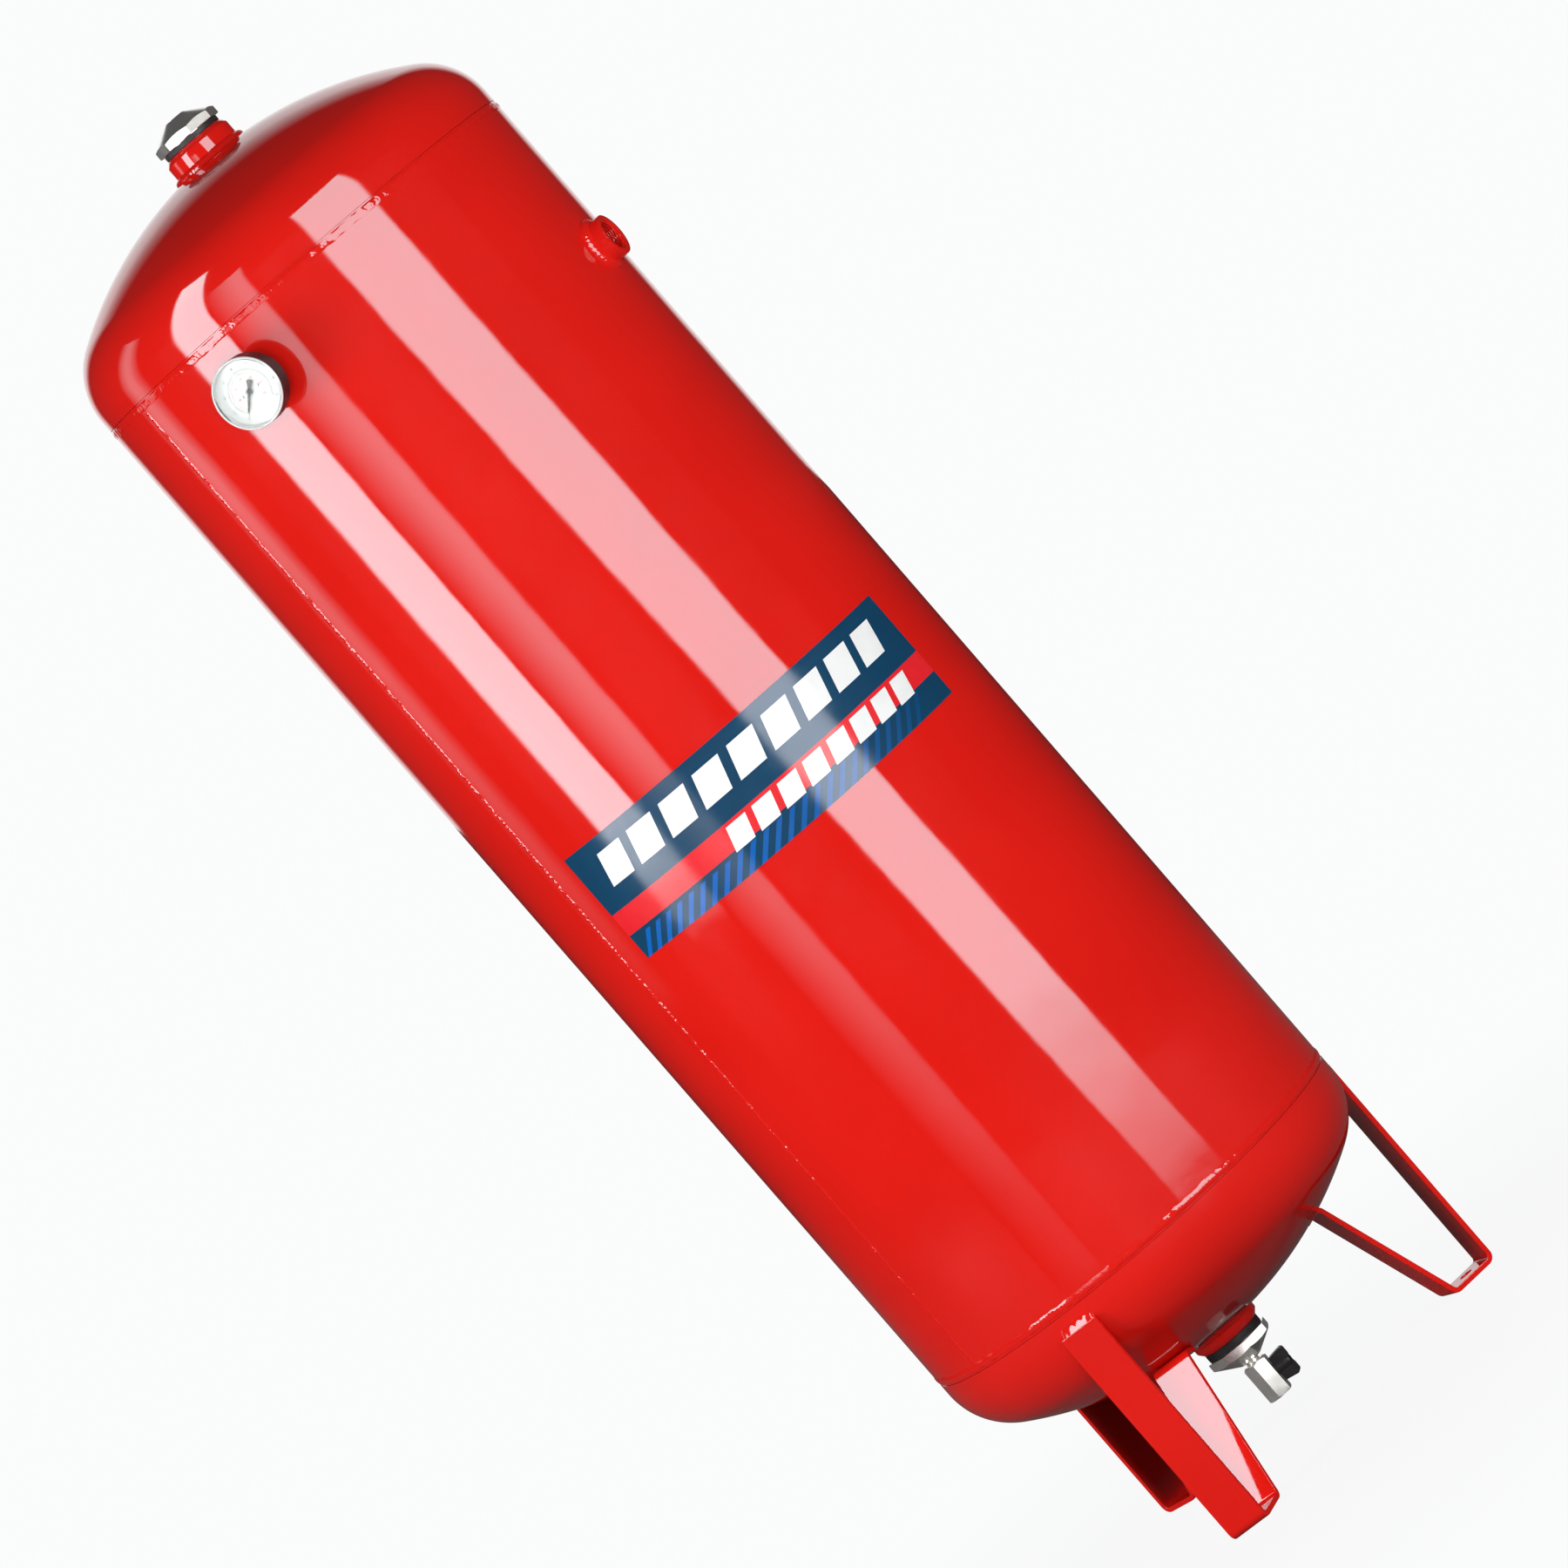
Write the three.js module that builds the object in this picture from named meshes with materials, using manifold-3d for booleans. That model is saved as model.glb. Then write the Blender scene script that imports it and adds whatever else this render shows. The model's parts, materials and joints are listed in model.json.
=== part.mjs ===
// Vertical air receiver: a welded steel tank on three strap legs, with a pressure gauge, a side port,
// a reducing bush in each end and a small ball valve as its drain.
//
// Millimetres and degrees, +Z up. The origin is on the tank's axis at floor level. An azimuth is measured
// from the front (-Y) towards +X. The gauge and the side port stand equally far either side of the front.

import * as THREE from 'three';
import { mergeVertices } from 'three/addons/utils/BufferGeometryUtils.js';
import Module from 'manifold-3d';

const wasm = await Module();
wasm.setup();

// ---------------------------------------------------------------- driving dimensions

const GAP = 0.3; // air left between neighbouring pieces
const ROUND = 48; // facets around the tank
const WELD_GAP = 3; // plates stand this far apart before they are welded

const TANK_RADIUS = 225;
const WALL = 3;
const LOW_SEAM = 255; // height of the lower girth seam
const HIGH_SEAM = 1369; // height of the upper girth seam
const CROWN_RADIUS = 360; // large radius of the dished heads
const KNUCKLE_RADIUS = 69; // small radius between crown and flange
const FLANGE = 17.5; // straight part of a head

const SEAM_BEAD_WIDTH = 9;
const SEAM_BEAD_RISE = 1.4;
const LONG_SEAM_AZIMUTH = -79;
const LONG_BEAD_WIDTH = 5;

const END_BOSS = {
  radius: 34,
  bore: 28.5,
  chamferWidth: 4,
  chamferHeight: 5,
  topRise: 20.5,
  bottomRise: 11,
};
const REDUCER = {
  corner: 33.5,
  cornerHeight: 7,
  neck: 10.9,
  height: 21,
  bore: 7.5,
  shank: 28.2,
  undercut: 26.1,
};
const TOP_BUSH_TURN = 26.9; // degrees each bush stands turned about the tank's axis
const BOTTOM_BUSH_TURN = 33.9;
const TOP_SEAL_THICKNESS = 5.5;
const BOTTOM_SEAL_THICKNESS = 8;

const SIDE_PORT = { azimuth: 46.4, height: 1215, radius: 21, bore: 15.5, rise: 16 };

const GAUGE_AZIMUTH = -46.4;
const GAUGE_HEIGHT = 1315;
const GAUGE_BACK = 247; // distance from the tank's axis to the back of the gauge case
const GAUGE_BOSS = { radius: 12, bore: 6.9, rise: 10 };

const LEG_AZIMUTHS = { front_leg: -47.9, right_leg: 83.1, rear_leg: -166.9 };
const STRAP_WIDTH = 40;
const STRAP_THICKNESS = 5;
const LEG_TOP = 232;
const FOOT_INNER_RADIUS = 179;
const BRACE_TOP_RADIUS = 131; // where the inner strand of a leg meets the lower head
const BRACE_TAB = 15; // length of the tab laid against the head
const FOOT_HOLE_RADIUS = 6.5;

const LABEL = { from: -71, to: 32.3, bottom: 718, top: 830, thickness: 0.4 };

const VALVE_HEIGHT = 61.5; // height of the ball's centre
const VALVE_AZIMUTH = 54.1; // the side of the valve that carries the handle
const VALVE = { acrossFlats: 23, above: 18.5, below: 20.5, cavity: 8.2, bore: 4.3, thread: 7.2, ball: 7.5 };

const DIAL_START = 225; // degrees clockwise from the top where the scale begins
const PINION_TEETH = 10;
const SECTOR_TEETH = 60; // the count that a whole wheel of the sector's size would have
const TOOTH_MODULE = 0.4;
const SECTOR_REST = 24; // the sector's lean at zero pressure

// ---------------------------------------------------------------- materials

function finish(color, roughness, metalness, opacity = 1) {
  return new THREE.MeshStandardMaterial({ color, roughness, metalness, opacity, transparent: opacity < 1 });
}

const enamel = () => finish(0xd91f1a, 0.25, 0);
const nickel = () => finish(0xc8c6c0, 0.25, 1);
const blackPlastic = () => finish(0x1c1b1d, 0.5, 0);
const rubber = () => finish(0x131313, 0.8, 0);
const ptfe = () => finish(0xecebe6, 0.6, 0);
const brass = () => finish(0xc29a48, 0.35, 1);
const steel = () => finish(0xa9aaac, 0.35, 1);
const vinyl = () => finish(0x14415f, 0.3, 0);
const dialWhite = () => finish(0xf3f2ee, 0.5, 0);
const clearPlastic = () => finish(0xe9eff0, 0.08, 0, 0.25);

// ---------------------------------------------------------------- geometry helpers

const radians = THREE.MathUtils.degToRad;
const point = (x, y) => new THREE.Vector2(x, y);

// Points along an arc, both ends included.
function arc(centreX, centreY, radius, fromDegrees, toDegrees, steps) {
  return Array.from({ length: steps + 1 }, (_, i) => {
    const angle = radians(fromDegrees + ((toDegrees - fromDegrees) * i) / steps);
    return point(centreX + radius * Math.cos(angle), centreY + radius * Math.sin(angle));
  });
}

// A closed outline of (radius, height) points turned about Z. Its first facet edge is at the front.
function turned(outline, segments) {
  const points = THREE.ShapeUtils.isClockWise(outline) ? [...outline].reverse() : outline;
  return new THREE.LatheGeometry([...points, points[0]], segments).rotateX(Math.PI / 2);
}

// A closed (x, y) outline raised from z = bottom to z = top.
function raised(outline, bottom, top) {
  const shape = new THREE.Shape(outline);
  const geometry = new THREE.ExtrudeGeometry(shape, { depth: top - bottom, bevelEnabled: false });
  return geometry.translate(0, 0, bottom);
}

// A round rod along Z.
function rod(radius, bottom, top, segments) {
  const geometry = new THREE.CylinderGeometry(radius, radius, top - bottom, segments);
  return geometry.rotateX(Math.PI / 2).translate(0, 0, (bottom + top) / 2);
}

// A round rod along X.
function crossRod(radius, from, to, segments) {
  return rod(radius, from, to, segments).rotateY(Math.PI / 2);
}

function block(sizeX, sizeY, sizeZ, x, y, z) {
  return new THREE.BoxGeometry(sizeX, sizeY, sizeZ).translate(x, y, z);
}

function polygon(cornerRadius, sides, startDegrees) {
  return arc(0, 0, cornerRadius, startDegrees, startDegrees + 360, sides).slice(0, -1);
}

function toSolid(geometry) {
  const bare = geometry.clone();
  bare.deleteAttribute('normal');
  bare.deleteAttribute('uv');
  const merged = mergeVertices(bare, 1e-4);
  const index = merged.index.array;
  const triangles = [];
  for (let i = 0; i < index.length; i += 3) {
    const [a, b, c] = [index[i], index[i + 1], index[i + 2]];
    if (a !== b && b !== c && c !== a) triangles.push(a, b, c);
  }
  return new wasm.Manifold(
    new wasm.Mesh({
      numProp: 3,
      vertProperties: new Float32Array(merged.attributes.position.array),
      triVerts: new Uint32Array(triangles),
    }),
  );
}

function toGeometry(solid) {
  const mesh = solid.getMesh();
  const geometry = new THREE.BufferGeometry();
  geometry.setAttribute('position', new THREE.BufferAttribute(mesh.vertProperties, 3));
  geometry.setIndex(new THREE.BufferAttribute(mesh.triVerts, 1));
  geometry.computeVertexNormals();
  return geometry;
}

const join = (...parts) => toGeometry(parts.map(toSolid).reduce((a, b) => a.add(b)));
const cut = (base, ...tools) => toGeometry(tools.map(toSolid).reduce((a, b) => a.subtract(b), toSolid(base)));
const overlap = (first, second) => toGeometry(toSolid(first).intersect(toSolid(second)));

// ---------------------------------------------------------------- scene helpers

const receiver = new THREE.Group();

function add(parent, name, geometry, material) {
  const mesh = new THREE.Mesh(geometry, material);
  mesh.name = name;
  parent.add(mesh);
  return mesh;
}

// A group standing on the tank's side: +Z points outwards at the azimuth, +Y points up.
function sideFrame(azimuth, radius, height) {
  const frame = new THREE.Group();
  const angle = radians(azimuth);
  frame.position.set(radius * Math.sin(angle), -radius * Math.cos(angle), height);
  frame.rotation.set(Math.PI / 2, 0, angle, 'ZYX');
  receiver.add(frame);
  frame.updateMatrixWorld(true);
  return frame;
}

const placed = (geometry, frame) => geometry.clone().applyMatrix4(frame.matrixWorld);

// ---------------------------------------------------------------- pressure vessel

const crownDrop = Math.sqrt((CROWN_RADIUS - KNUCKLE_RADIUS) ** 2 - (TANK_RADIUS - KNUCKLE_RADIUS) ** 2);
const crownCentre = FLANGE - crownDrop; // height of the crown's centre above its seam
const HEAD_RISE = crownCentre + CROWN_RADIUS;
const TOP_APEX = HIGH_SEAM + HEAD_RISE;
const BOTTOM_APEX = LOW_SEAM - HEAD_RISE;

// Height of the lower head's outer face at a distance from the axis.
const lowerHeadFace = (radius) => LOW_SEAM - crownCentre - Math.sqrt(CROWN_RADIUS ** 2 - radius ** 2);

// A dished head, as (radius, height above its seam) points, with a hole in its crown.
function headOutline(holeRadius) {
  const knuckleEnd = THREE.MathUtils.radToDeg(
    Math.acos((TANK_RADIUS - KNUCKLE_RADIUS) / (CROWN_RADIUS - KNUCKLE_RADIUS)),
  );
  const skin = (depth, knuckleSteps, crownSteps) => {
    const crown = CROWN_RADIUS - depth;
    const crownEnd = THREE.MathUtils.radToDeg(Math.acos(holeRadius / crown));
    return [
      point(TANK_RADIUS - depth, WELD_GAP / 2),
      ...arc(TANK_RADIUS - KNUCKLE_RADIUS, FLANGE, KNUCKLE_RADIUS - depth, 0, knuckleEnd, knuckleSteps),
      ...arc(0, crownCentre, crown, knuckleEnd, crownEnd, crownSteps).slice(1),
    ];
  };
  return [...skin(0, 5, 4), ...skin(WALL, 4, 3).reverse()];
}

function head(seam, direction) {
  const outline = headOutline(END_BOSS.radius + GAP);
  return turned(outline.map((p) => point(p.x, seam + direction * p.y)), ROUND);
}

add(receiver, 'top_head', head(HIGH_SEAM, 1), enamel());
add(receiver, 'bottom_head', head(LOW_SEAM, -1), enamel());

// Azimuths of the tank's facet edges between two azimuths, with both ends added.
function facetAzimuths(from, to) {
  const pitch = 360 / ROUND;
  const inner = [];
  for (let k = Math.ceil((from + 0.01) / pitch); k * pitch < to - 0.01; k += 1) inner.push(k * pitch);
  return [from, ...inner, to];
}

// Part of a ring around the tank's axis, between two azimuths, following the tank's facets.
function bentPlate(innerRadius, outerRadius, from, to, bottom, top) {
  const pitch = 360 / ROUND;
  const at = (radius) => (azimuth) => {
    const offCentre = THREE.MathUtils.euclideanModulo(azimuth, pitch) - pitch / 2;
    const reach = (radius * Math.cos(radians(pitch / 2))) / Math.cos(radians(offCentre));
    const angle = radians(azimuth);
    return point(reach * Math.sin(angle), -reach * Math.cos(angle));
  };
  const azimuths = facetAzimuths(from, to);
  return raised([...azimuths.map(at(outerRadius)), ...azimuths.map(at(innerRadius)).reverse()], bottom, top);
}

const sidePortFrame = sideFrame(SIDE_PORT.azimuth, 0, SIDE_PORT.height);
const gaugePortFrame = sideFrame(GAUGE_AZIMUTH, 0, GAUGE_HEIGHT);
const CUTTER_REACH = 75; // how far a port's cutter runs to both sides of the shell's face
const portCutter = (radius, segments, frame) =>
  placed(rod(radius, TANK_RADIUS - CUTTER_REACH, TANK_RADIUS + CUTTER_REACH, segments), frame);

const slitHalfAngle = THREE.MathUtils.radToDeg(WELD_GAP / 2 / TANK_RADIUS);
const rolledPlate = bentPlate(
  TANK_RADIUS - WALL,
  TANK_RADIUS,
  LONG_SEAM_AZIMUTH + slitHalfAngle,
  LONG_SEAM_AZIMUTH + 360 - slitHalfAngle,
  LOW_SEAM + WELD_GAP / 2,
  HIGH_SEAM - WELD_GAP / 2,
);
add(
  receiver,
  'shell',
  cut(
    rolledPlate,
    portCutter(SIDE_PORT.radius + GAP, 24, sidePortFrame),
    portCutter(GAUGE_BOSS.radius + GAP, 16, gaugePortFrame),
  ),
  enamel(),
);

// A butt weld's section: a root between the plates and a low crown over them. X runs across the joint.
function beadSection(width, rise) {
  const root = WELD_GAP / 2 - GAP;
  return [
    point(-root, -WALL + GAP),
    point(root, -WALL + GAP),
    point(root, GAP),
    point(width / 2, GAP),
    point(width / 4, rise),
    point(-width / 4, rise),
    point(-width / 2, GAP),
    point(-root, GAP),
  ];
}

function girthWeld(seamHeight) {
  const section = beadSection(SEAM_BEAD_WIDTH, SEAM_BEAD_RISE);
  return turned(section.map((p) => point(TANK_RADIUS + p.y, seamHeight + p.x)), ROUND);
}

add(receiver, 'top_girth_weld', girthWeld(HIGH_SEAM), enamel());
add(receiver, 'bottom_girth_weld', girthWeld(LOW_SEAM), enamel());

const longBead = raised(
  beadSection(LONG_BEAD_WIDTH, SEAM_BEAD_RISE).map((p) => point(p.x, -TANK_RADIUS - p.y)).reverse(),
  LOW_SEAM + SEAM_BEAD_WIDTH / 2 + GAP,
  HIGH_SEAM - SEAM_BEAD_WIDTH / 2 - GAP,
);
add(receiver, 'long_seam_weld', longBead.rotateZ(radians(LONG_SEAM_AZIMUTH)), enamel());

// ---------------------------------------------------------------- threaded bosses and their welds

const BOSS_ROUND = 32;
const BOSS_DEPTH = 5; // how far a boss reaches inside the tank

// An end boss, as (radius, height above the head's apex) points.
function endBossOutline(rise) {
  const { radius, bore, chamferWidth, chamferHeight } = END_BOSS;
  return [
    point(bore, -WALL - BOSS_DEPTH),
    point(radius, -WALL - BOSS_DEPTH),
    point(radius, rise - chamferHeight),
    point(radius - chamferWidth, rise),
    point(bore, rise),
  ];
}

// The fillet weld around an end boss, resting on the crown.
function endBossWeldOutline(leg) {
  const inner = END_BOSS.radius + GAP;
  const crownAt = (radius) => Math.sqrt(CROWN_RADIUS ** 2 - radius ** 2) - CROWN_RADIUS + GAP;
  return [
    point(inner, crownAt(inner)),
    point(inner + leg, crownAt(inner + leg)),
    point(inner + leg * 0.3, leg * 0.3),
    point(inner, leg),
  ];
}

function endBoss(name, apex, direction, rise, weldLeg) {
  const onHead = (outline) => outline.map((p) => point(p.x, apex + direction * p.y));
  add(receiver, name, turned(onHead(endBossOutline(rise)), BOSS_ROUND), enamel());
  add(receiver, `${name}_weld`, turned(onHead(endBossWeldOutline(weldLeg)), BOSS_ROUND), enamel());
}

endBoss('top_boss', TOP_APEX, 1, END_BOSS.topRise, 5.5);
endBoss('bottom_boss', BOTTOM_APEX, -1, END_BOSS.bottomRise, 3);

// A boss standing through the shell's side, and the fillet weld around it.
function sideBoss(name, frame, size, segments, weldLeg) {
  const { radius, bore, rise } = size;
  const start = TANK_RADIUS - WALL - BOSS_DEPTH;
  const end = TANK_RADIUS + rise;
  const section = [point(bore, start), point(radius, start), point(radius, end), point(bore, end)];
  const ring = turned(section, segments);
  add(frame, `${name}_boss`, ring, enamel());
  const sag = TANK_RADIUS - Math.sqrt(TANK_RADIUS ** 2 - (radius + weldLeg) ** 2);
  const cone = turned(
    [
      point(radius + GAP, TANK_RADIUS - sag - 2),
      point(radius + weldLeg, TANK_RADIUS - sag - 2),
      point(radius + weldLeg, TANK_RADIUS - sag + 1),
      point(radius + weldLeg * 0.3, TANK_RADIUS + weldLeg * 0.3),
      point(radius + GAP, TANK_RADIUS + weldLeg * 0.8),
    ],
    segments,
  );
  const tankBody = rod(TANK_RADIUS + GAP, frame.position.z - 60, frame.position.z + 60, ROUND);
  add(receiver, `${name}_boss_weld`, cut(placed(cone, frame), tankBody), enamel());
}

sideBoss('side_port', sidePortFrame, SIDE_PORT, 24, 7);
sideBoss('gauge', gaugePortFrame, GAUGE_BOSS, 16, 4);

// ---------------------------------------------------------------- reducing bushes

// The bush stands on its boss with its seat at z = 0 and its port pointing along +Z.
function reducingBush(sealThickness) {
  const { corner, cornerHeight, neck, height, bore, shank, undercut } = REDUCER;
  const faces = raised(polygon(corner, 8, -90), 0, height);
  const rim = corner + 1;
  const cone = turned(
    [point(0, 0), point(rim, 0), point(rim, cornerHeight), point(neck, height), point(0, height)],
    BOSS_ROUND,
  );
  const threadTop = -sealThickness - 2;
  const threadEnd = threadTop - 14;
  const stem = turned(
    [
      point(0, threadEnd),
      point(shank, threadEnd),
      point(shank, threadTop),
      point(undercut, threadTop),
      point(undercut, 1),
      point(0, 1),
    ],
    BOSS_ROUND,
  );
  const hollow = rod(shank - 6, threadEnd - 1, -2, BOSS_ROUND);
  return cut(join(overlap(faces, cone), stem), hollow, rod(bore, -3, height + 1, 24));
}

function sealRing(thickness) {
  const inner = REDUCER.undercut + GAP;
  const outer = END_BOSS.radius - END_BOSS.chamferWidth - GAP;
  const [bottom, top] = [GAP - thickness, -GAP];
  const section = [point(inner, bottom), point(outer, bottom), point(outer, top), point(inner, top)];
  return turned(section, BOSS_ROUND);
}

const topBush = new THREE.Group();
topBush.position.z = TOP_APEX + END_BOSS.topRise + TOP_SEAL_THICKNESS;
topBush.rotation.z = radians(TOP_BUSH_TURN);
receiver.add(topBush);
add(topBush, 'top_reducer', reducingBush(TOP_SEAL_THICKNESS), nickel());
add(topBush, 'top_reducer_seal', sealRing(TOP_SEAL_THICKNESS), rubber());

const bottomBush = new THREE.Group();
bottomBush.position.z = BOTTOM_APEX - END_BOSS.bottomRise - BOTTOM_SEAL_THICKNESS;
bottomBush.rotation.set(Math.PI, 0, radians(BOTTOM_BUSH_TURN), 'ZYX');
receiver.add(bottomBush);
add(bottomBush, 'bottom_reducer', reducingBush(BOTTOM_SEAL_THICKNESS), nickel());
add(bottomBush, 'bottom_reducer_seal', sealRing(BOTTOM_SEAL_THICKNESS), rubber());

// ---------------------------------------------------------------- legs

// The outline of a strap of even thickness along a path of corners, each corner bent to a radius.
function strapOutline(corners, thickness, bendRadius) {
  const left = [];
  const right = [];
  const place = (centre, normal) => {
    left.push(centre.clone().addScaledVector(normal, thickness / 2));
    right.push(centre.clone().addScaledVector(normal, -thickness / 2));
  };
  const heading = (from, to) => to.clone().sub(from).normalize();
  const normalOf = (direction) => point(-direction.y, direction.x);
  corners.forEach((corner, i) => {
    if (i === 0 || i === corners.length - 1) {
      const [a, b] = i === 0 ? [corner, corners[1]] : [corners[i - 1], corner];
      place(corner, normalOf(heading(a, b)));
      return;
    }
    const before = heading(corners[i - 1], corner);
    const after = heading(corner, corners[i + 1]);
    const turn = Math.atan2(before.cross(after), before.dot(after));
    const setback = bendRadius * Math.tan(Math.abs(turn) / 2);
    const steps = 4;
    const start = corner.clone().addScaledVector(before, -setback);
    const centre = start.clone().addScaledVector(normalOf(before), Math.sign(turn) * bendRadius);
    for (let k = 0; k <= steps; k += 1) {
      const angle = (turn * k) / steps;
      const spoke = start.clone().sub(centre).rotateAround(point(0, 0), angle);
      const normal = normalOf(before).rotateAround(point(0, 0), angle);
      place(centre.clone().add(spoke), normal);
    }
  });
  return [...left, ...right.reverse()];
}

// Stands an outline of (radius, height) points upright at the front, with its width across.
function standing(outline, width) {
  const points = THREE.ShapeUtils.isClockWise(outline) ? [...outline].reverse() : outline;
  return raised(points, -width / 2, width / 2).rotateX(Math.PI / 2).rotateZ(-Math.PI / 2);
}

const half = STRAP_THICKNESS / 2;
const strandRadius = TANK_RADIUS + GAP + half;
const tabOffset = half + 0.6;
const tabEndRadius = BRACE_TOP_RADIUS - BRACE_TAB;

function legOutline() {
  return strapOutline(
    [
      point(strandRadius, LEG_TOP),
      point(strandRadius, half),
      point(FOOT_INNER_RADIUS + half, half),
      point(BRACE_TOP_RADIUS + 2, lowerHeadFace(BRACE_TOP_RADIUS) - tabOffset),
      point(tabEndRadius, lowerHeadFace(tabEndRadius) - tabOffset),
    ],
    STRAP_THICKNESS,
    6,
  );
}

const footCentre = (FOOT_INNER_RADIUS + TANK_RADIUS + STRAP_THICKNESS) / 2;

function legGeometry() {
  const hole = rod(FOOT_HOLE_RADIUS, -1, STRAP_THICKNESS + 1, 16).translate(0, -footCentre, 0);
  return cut(standing(legOutline(), STRAP_WIDTH), hole);
}

// The bead along the top end of a leg's outer strand.
function strandWeld() {
  const inner = TANK_RADIUS + GAP;
  const base = LEG_TOP + GAP;
  const outline = [
    point(inner, base),
    point(inner + STRAP_THICKNESS, base),
    point(inner + 3.6, base + 4),
    point(inner + GAP, base + 8),
  ];
  return standing(outline, STRAP_WIDTH - 2);
}

// The bead along the end of a leg's inner tab.
function tabWeld() {
  const start = tabEndRadius - 2;
  const reach = 5;
  const under = (radius, drop) => point(radius, lowerHeadFace(radius) - drop);
  const outline = [
    under(start, 0.6),
    under(start, 5),
    under(start - reach / 2, 3.4),
    under(start - reach, 0.6),
  ];
  return standing(outline, STRAP_WIDTH - 4);
}

for (const [name, azimuth] of Object.entries(LEG_AZIMUTHS)) {
  const leg = new THREE.Group();
  leg.rotation.z = radians(azimuth);
  receiver.add(leg);
  add(leg, name, legGeometry(), enamel());
  add(leg, `${name}_outer_weld`, strandWeld(), enamel());
  add(leg, `${name}_inner_weld`, tabWeld(), enamel());
}

// ---------------------------------------------------------------- label

const labelInner = TANK_RADIUS + GAP;
add(
  receiver,
  'label',
  bentPlate(labelInner, labelInner + LABEL.thickness, LABEL.from, LABEL.to, LABEL.bottom, LABEL.top),
  vinyl(),
);

// ---------------------------------------------------------------- drain valve

// Flow runs along Z through the ball's centre, and the stem points along +X.
const valve = new THREE.Group();
valve.position.z = VALVE_HEIGHT;
valve.rotation.z = radians(VALVE_AZIMUTH - 90);
receiver.add(valve);

const faceX = VALVE.acrossFlats / 2;
const seatReach = VALVE.ball + GAP;
const seatEnd = VALVE.ball + 0.2;
const shoulder = seatEnd + GAP;
const STEM = { radius: 3.1, tip: 2.4, groove: [9.1, 10.6], handleEnd: 20 };

function valveBody() {
  const corner = faceX / Math.cos(Math.PI / 6);
  const bar = raised(polygon(corner, 6, -90), -VALVE.below, VALVE.above);
  const chamfer = 1.2;
  const lathed = turned(
    [
      point(0, -VALVE.below),
      point(corner - 1.5, -VALVE.below),
      point(corner + 0.1, chamfer - VALVE.below),
      point(corner + 0.1, VALVE.above - 2 * chamfer),
      point(corner - 3, VALVE.above),
      point(0, VALVE.above),
    ],
    24,
  );
  const thread = rod(VALVE.thread, VALVE.above - 1, VALVE.above + 14, 24);
  return cut(
    join(overlap(bar, lathed), thread),
    rod(VALVE.cavity, -VALVE.below - 1, shoulder, 24),
    rod(VALVE.bore, 0, VALVE.above + 15, 16),
    crossRod(STEM.radius + GAP, 2, faceX + 1, 16),
  );
}

function valveSeat(direction) {
  const outer = VALVE.cavity - GAP;
  const onBall = (radius) => point(radius, direction * Math.sqrt(seatReach ** 2 - radius ** 2));
  const innerLip = 6.8;
  return turned(
    [
      point(VALVE.bore, direction * seatEnd),
      onBall(VALVE.bore),
      onBall(5.6),
      onBall(innerLip),
      point(outer, onBall(innerLip).y),
      point(outer, direction * seatEnd),
    ],
    24,
  );
}

function valveInsert() {
  const outer = VALVE.cavity - GAP;
  const end = GAP - VALVE.below;
  const outletThread = 5.8;
  return turned(
    [
      point(outletThread, end),
      point(outer, end),
      point(outer, -shoulder),
      point(VALVE.bore, -shoulder),
      point(VALVE.bore, end + 9),
      point(outletThread, end + 9),
    ],
    24,
  );
}

function valveBall() {
  const sphere = new THREE.SphereGeometry(VALVE.ball, 20, 12).rotateX(Math.PI / 2);
  return cut(sphere, rod(VALVE.bore - 0.3, -10, 10, 16), block(4, 16, 3, 7.2, 0, 0));
}

function valveStem() {
  const start = 7.9;
  const [grooveStart, grooveEnd] = STEM.groove;
  const shaft = join(
    crossRod(STEM.radius, start, grooveStart, 16),
    crossRod(STEM.radius - 1, grooveStart - 0.5, grooveEnd + 0.5, 16),
    crossRod(STEM.radius, grooveEnd, faceX + 0.2, 16),
    crossRod(STEM.tip, faceX, STEM.handleEnd, 16),
    block(3, 5, 2.4, 7, 0, 0),
  );
  return cut(shaft, crossRod(1.4, STEM.handleEnd - 5.5, STEM.handleEnd + 1, 12));
}

function stemSeal() {
  const ring = arc(STEM.radius - 0.35, (STEM.groove[0] + STEM.groove[1]) / 2, 0.5, 0, 360, 6).slice(0, -1);
  return turned(ring, 16).rotateY(Math.PI / 2);
}

const HANDLE = {
  start: 11.8,
  bladeStart: 13.2,
  end: 28.7,
  halfLength: 14.5,
  thickness: 9.6,
  hub: 6.3,
  well: 3.6,
};

function valveHandle() {
  const { start, bladeStart, end, halfLength, thickness, hub, well } = HANDLE;
  const corner = 2.5;
  const outline = [
    point(bladeStart, -halfLength + 1),
    ...arc(end - corner, corner - halfLength, corner, -90, 0, 3),
    ...arc(end - corner, halfLength - corner, corner, 0, 90, 3),
    point(bladeStart, halfLength - 1),
  ];
  const blade = raised(outline, -thickness / 2, thickness / 2).rotateX(Math.PI / 2);
  return cut(
    join(blade, crossRod(hub, start, end - 5, 20)),
    crossRod(STEM.tip + GAP, start - 1, STEM.handleEnd + GAP, 16),
    crossRod(well, STEM.handleEnd, end + 1, 16),
  );
}

function handleScrew() {
  const seat = STEM.handleEnd + GAP;
  const driveSlot = block(1, 8, 0.8, seat + 2, 0, 0);
  const screwHead = crossRod(3.2, seat, seat + 2, 16);
  const screwThread = crossRod(1.1, seat - 5, seat + 0.5, 12);
  return cut(join(screwHead, screwThread), driveSlot);
}

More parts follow.
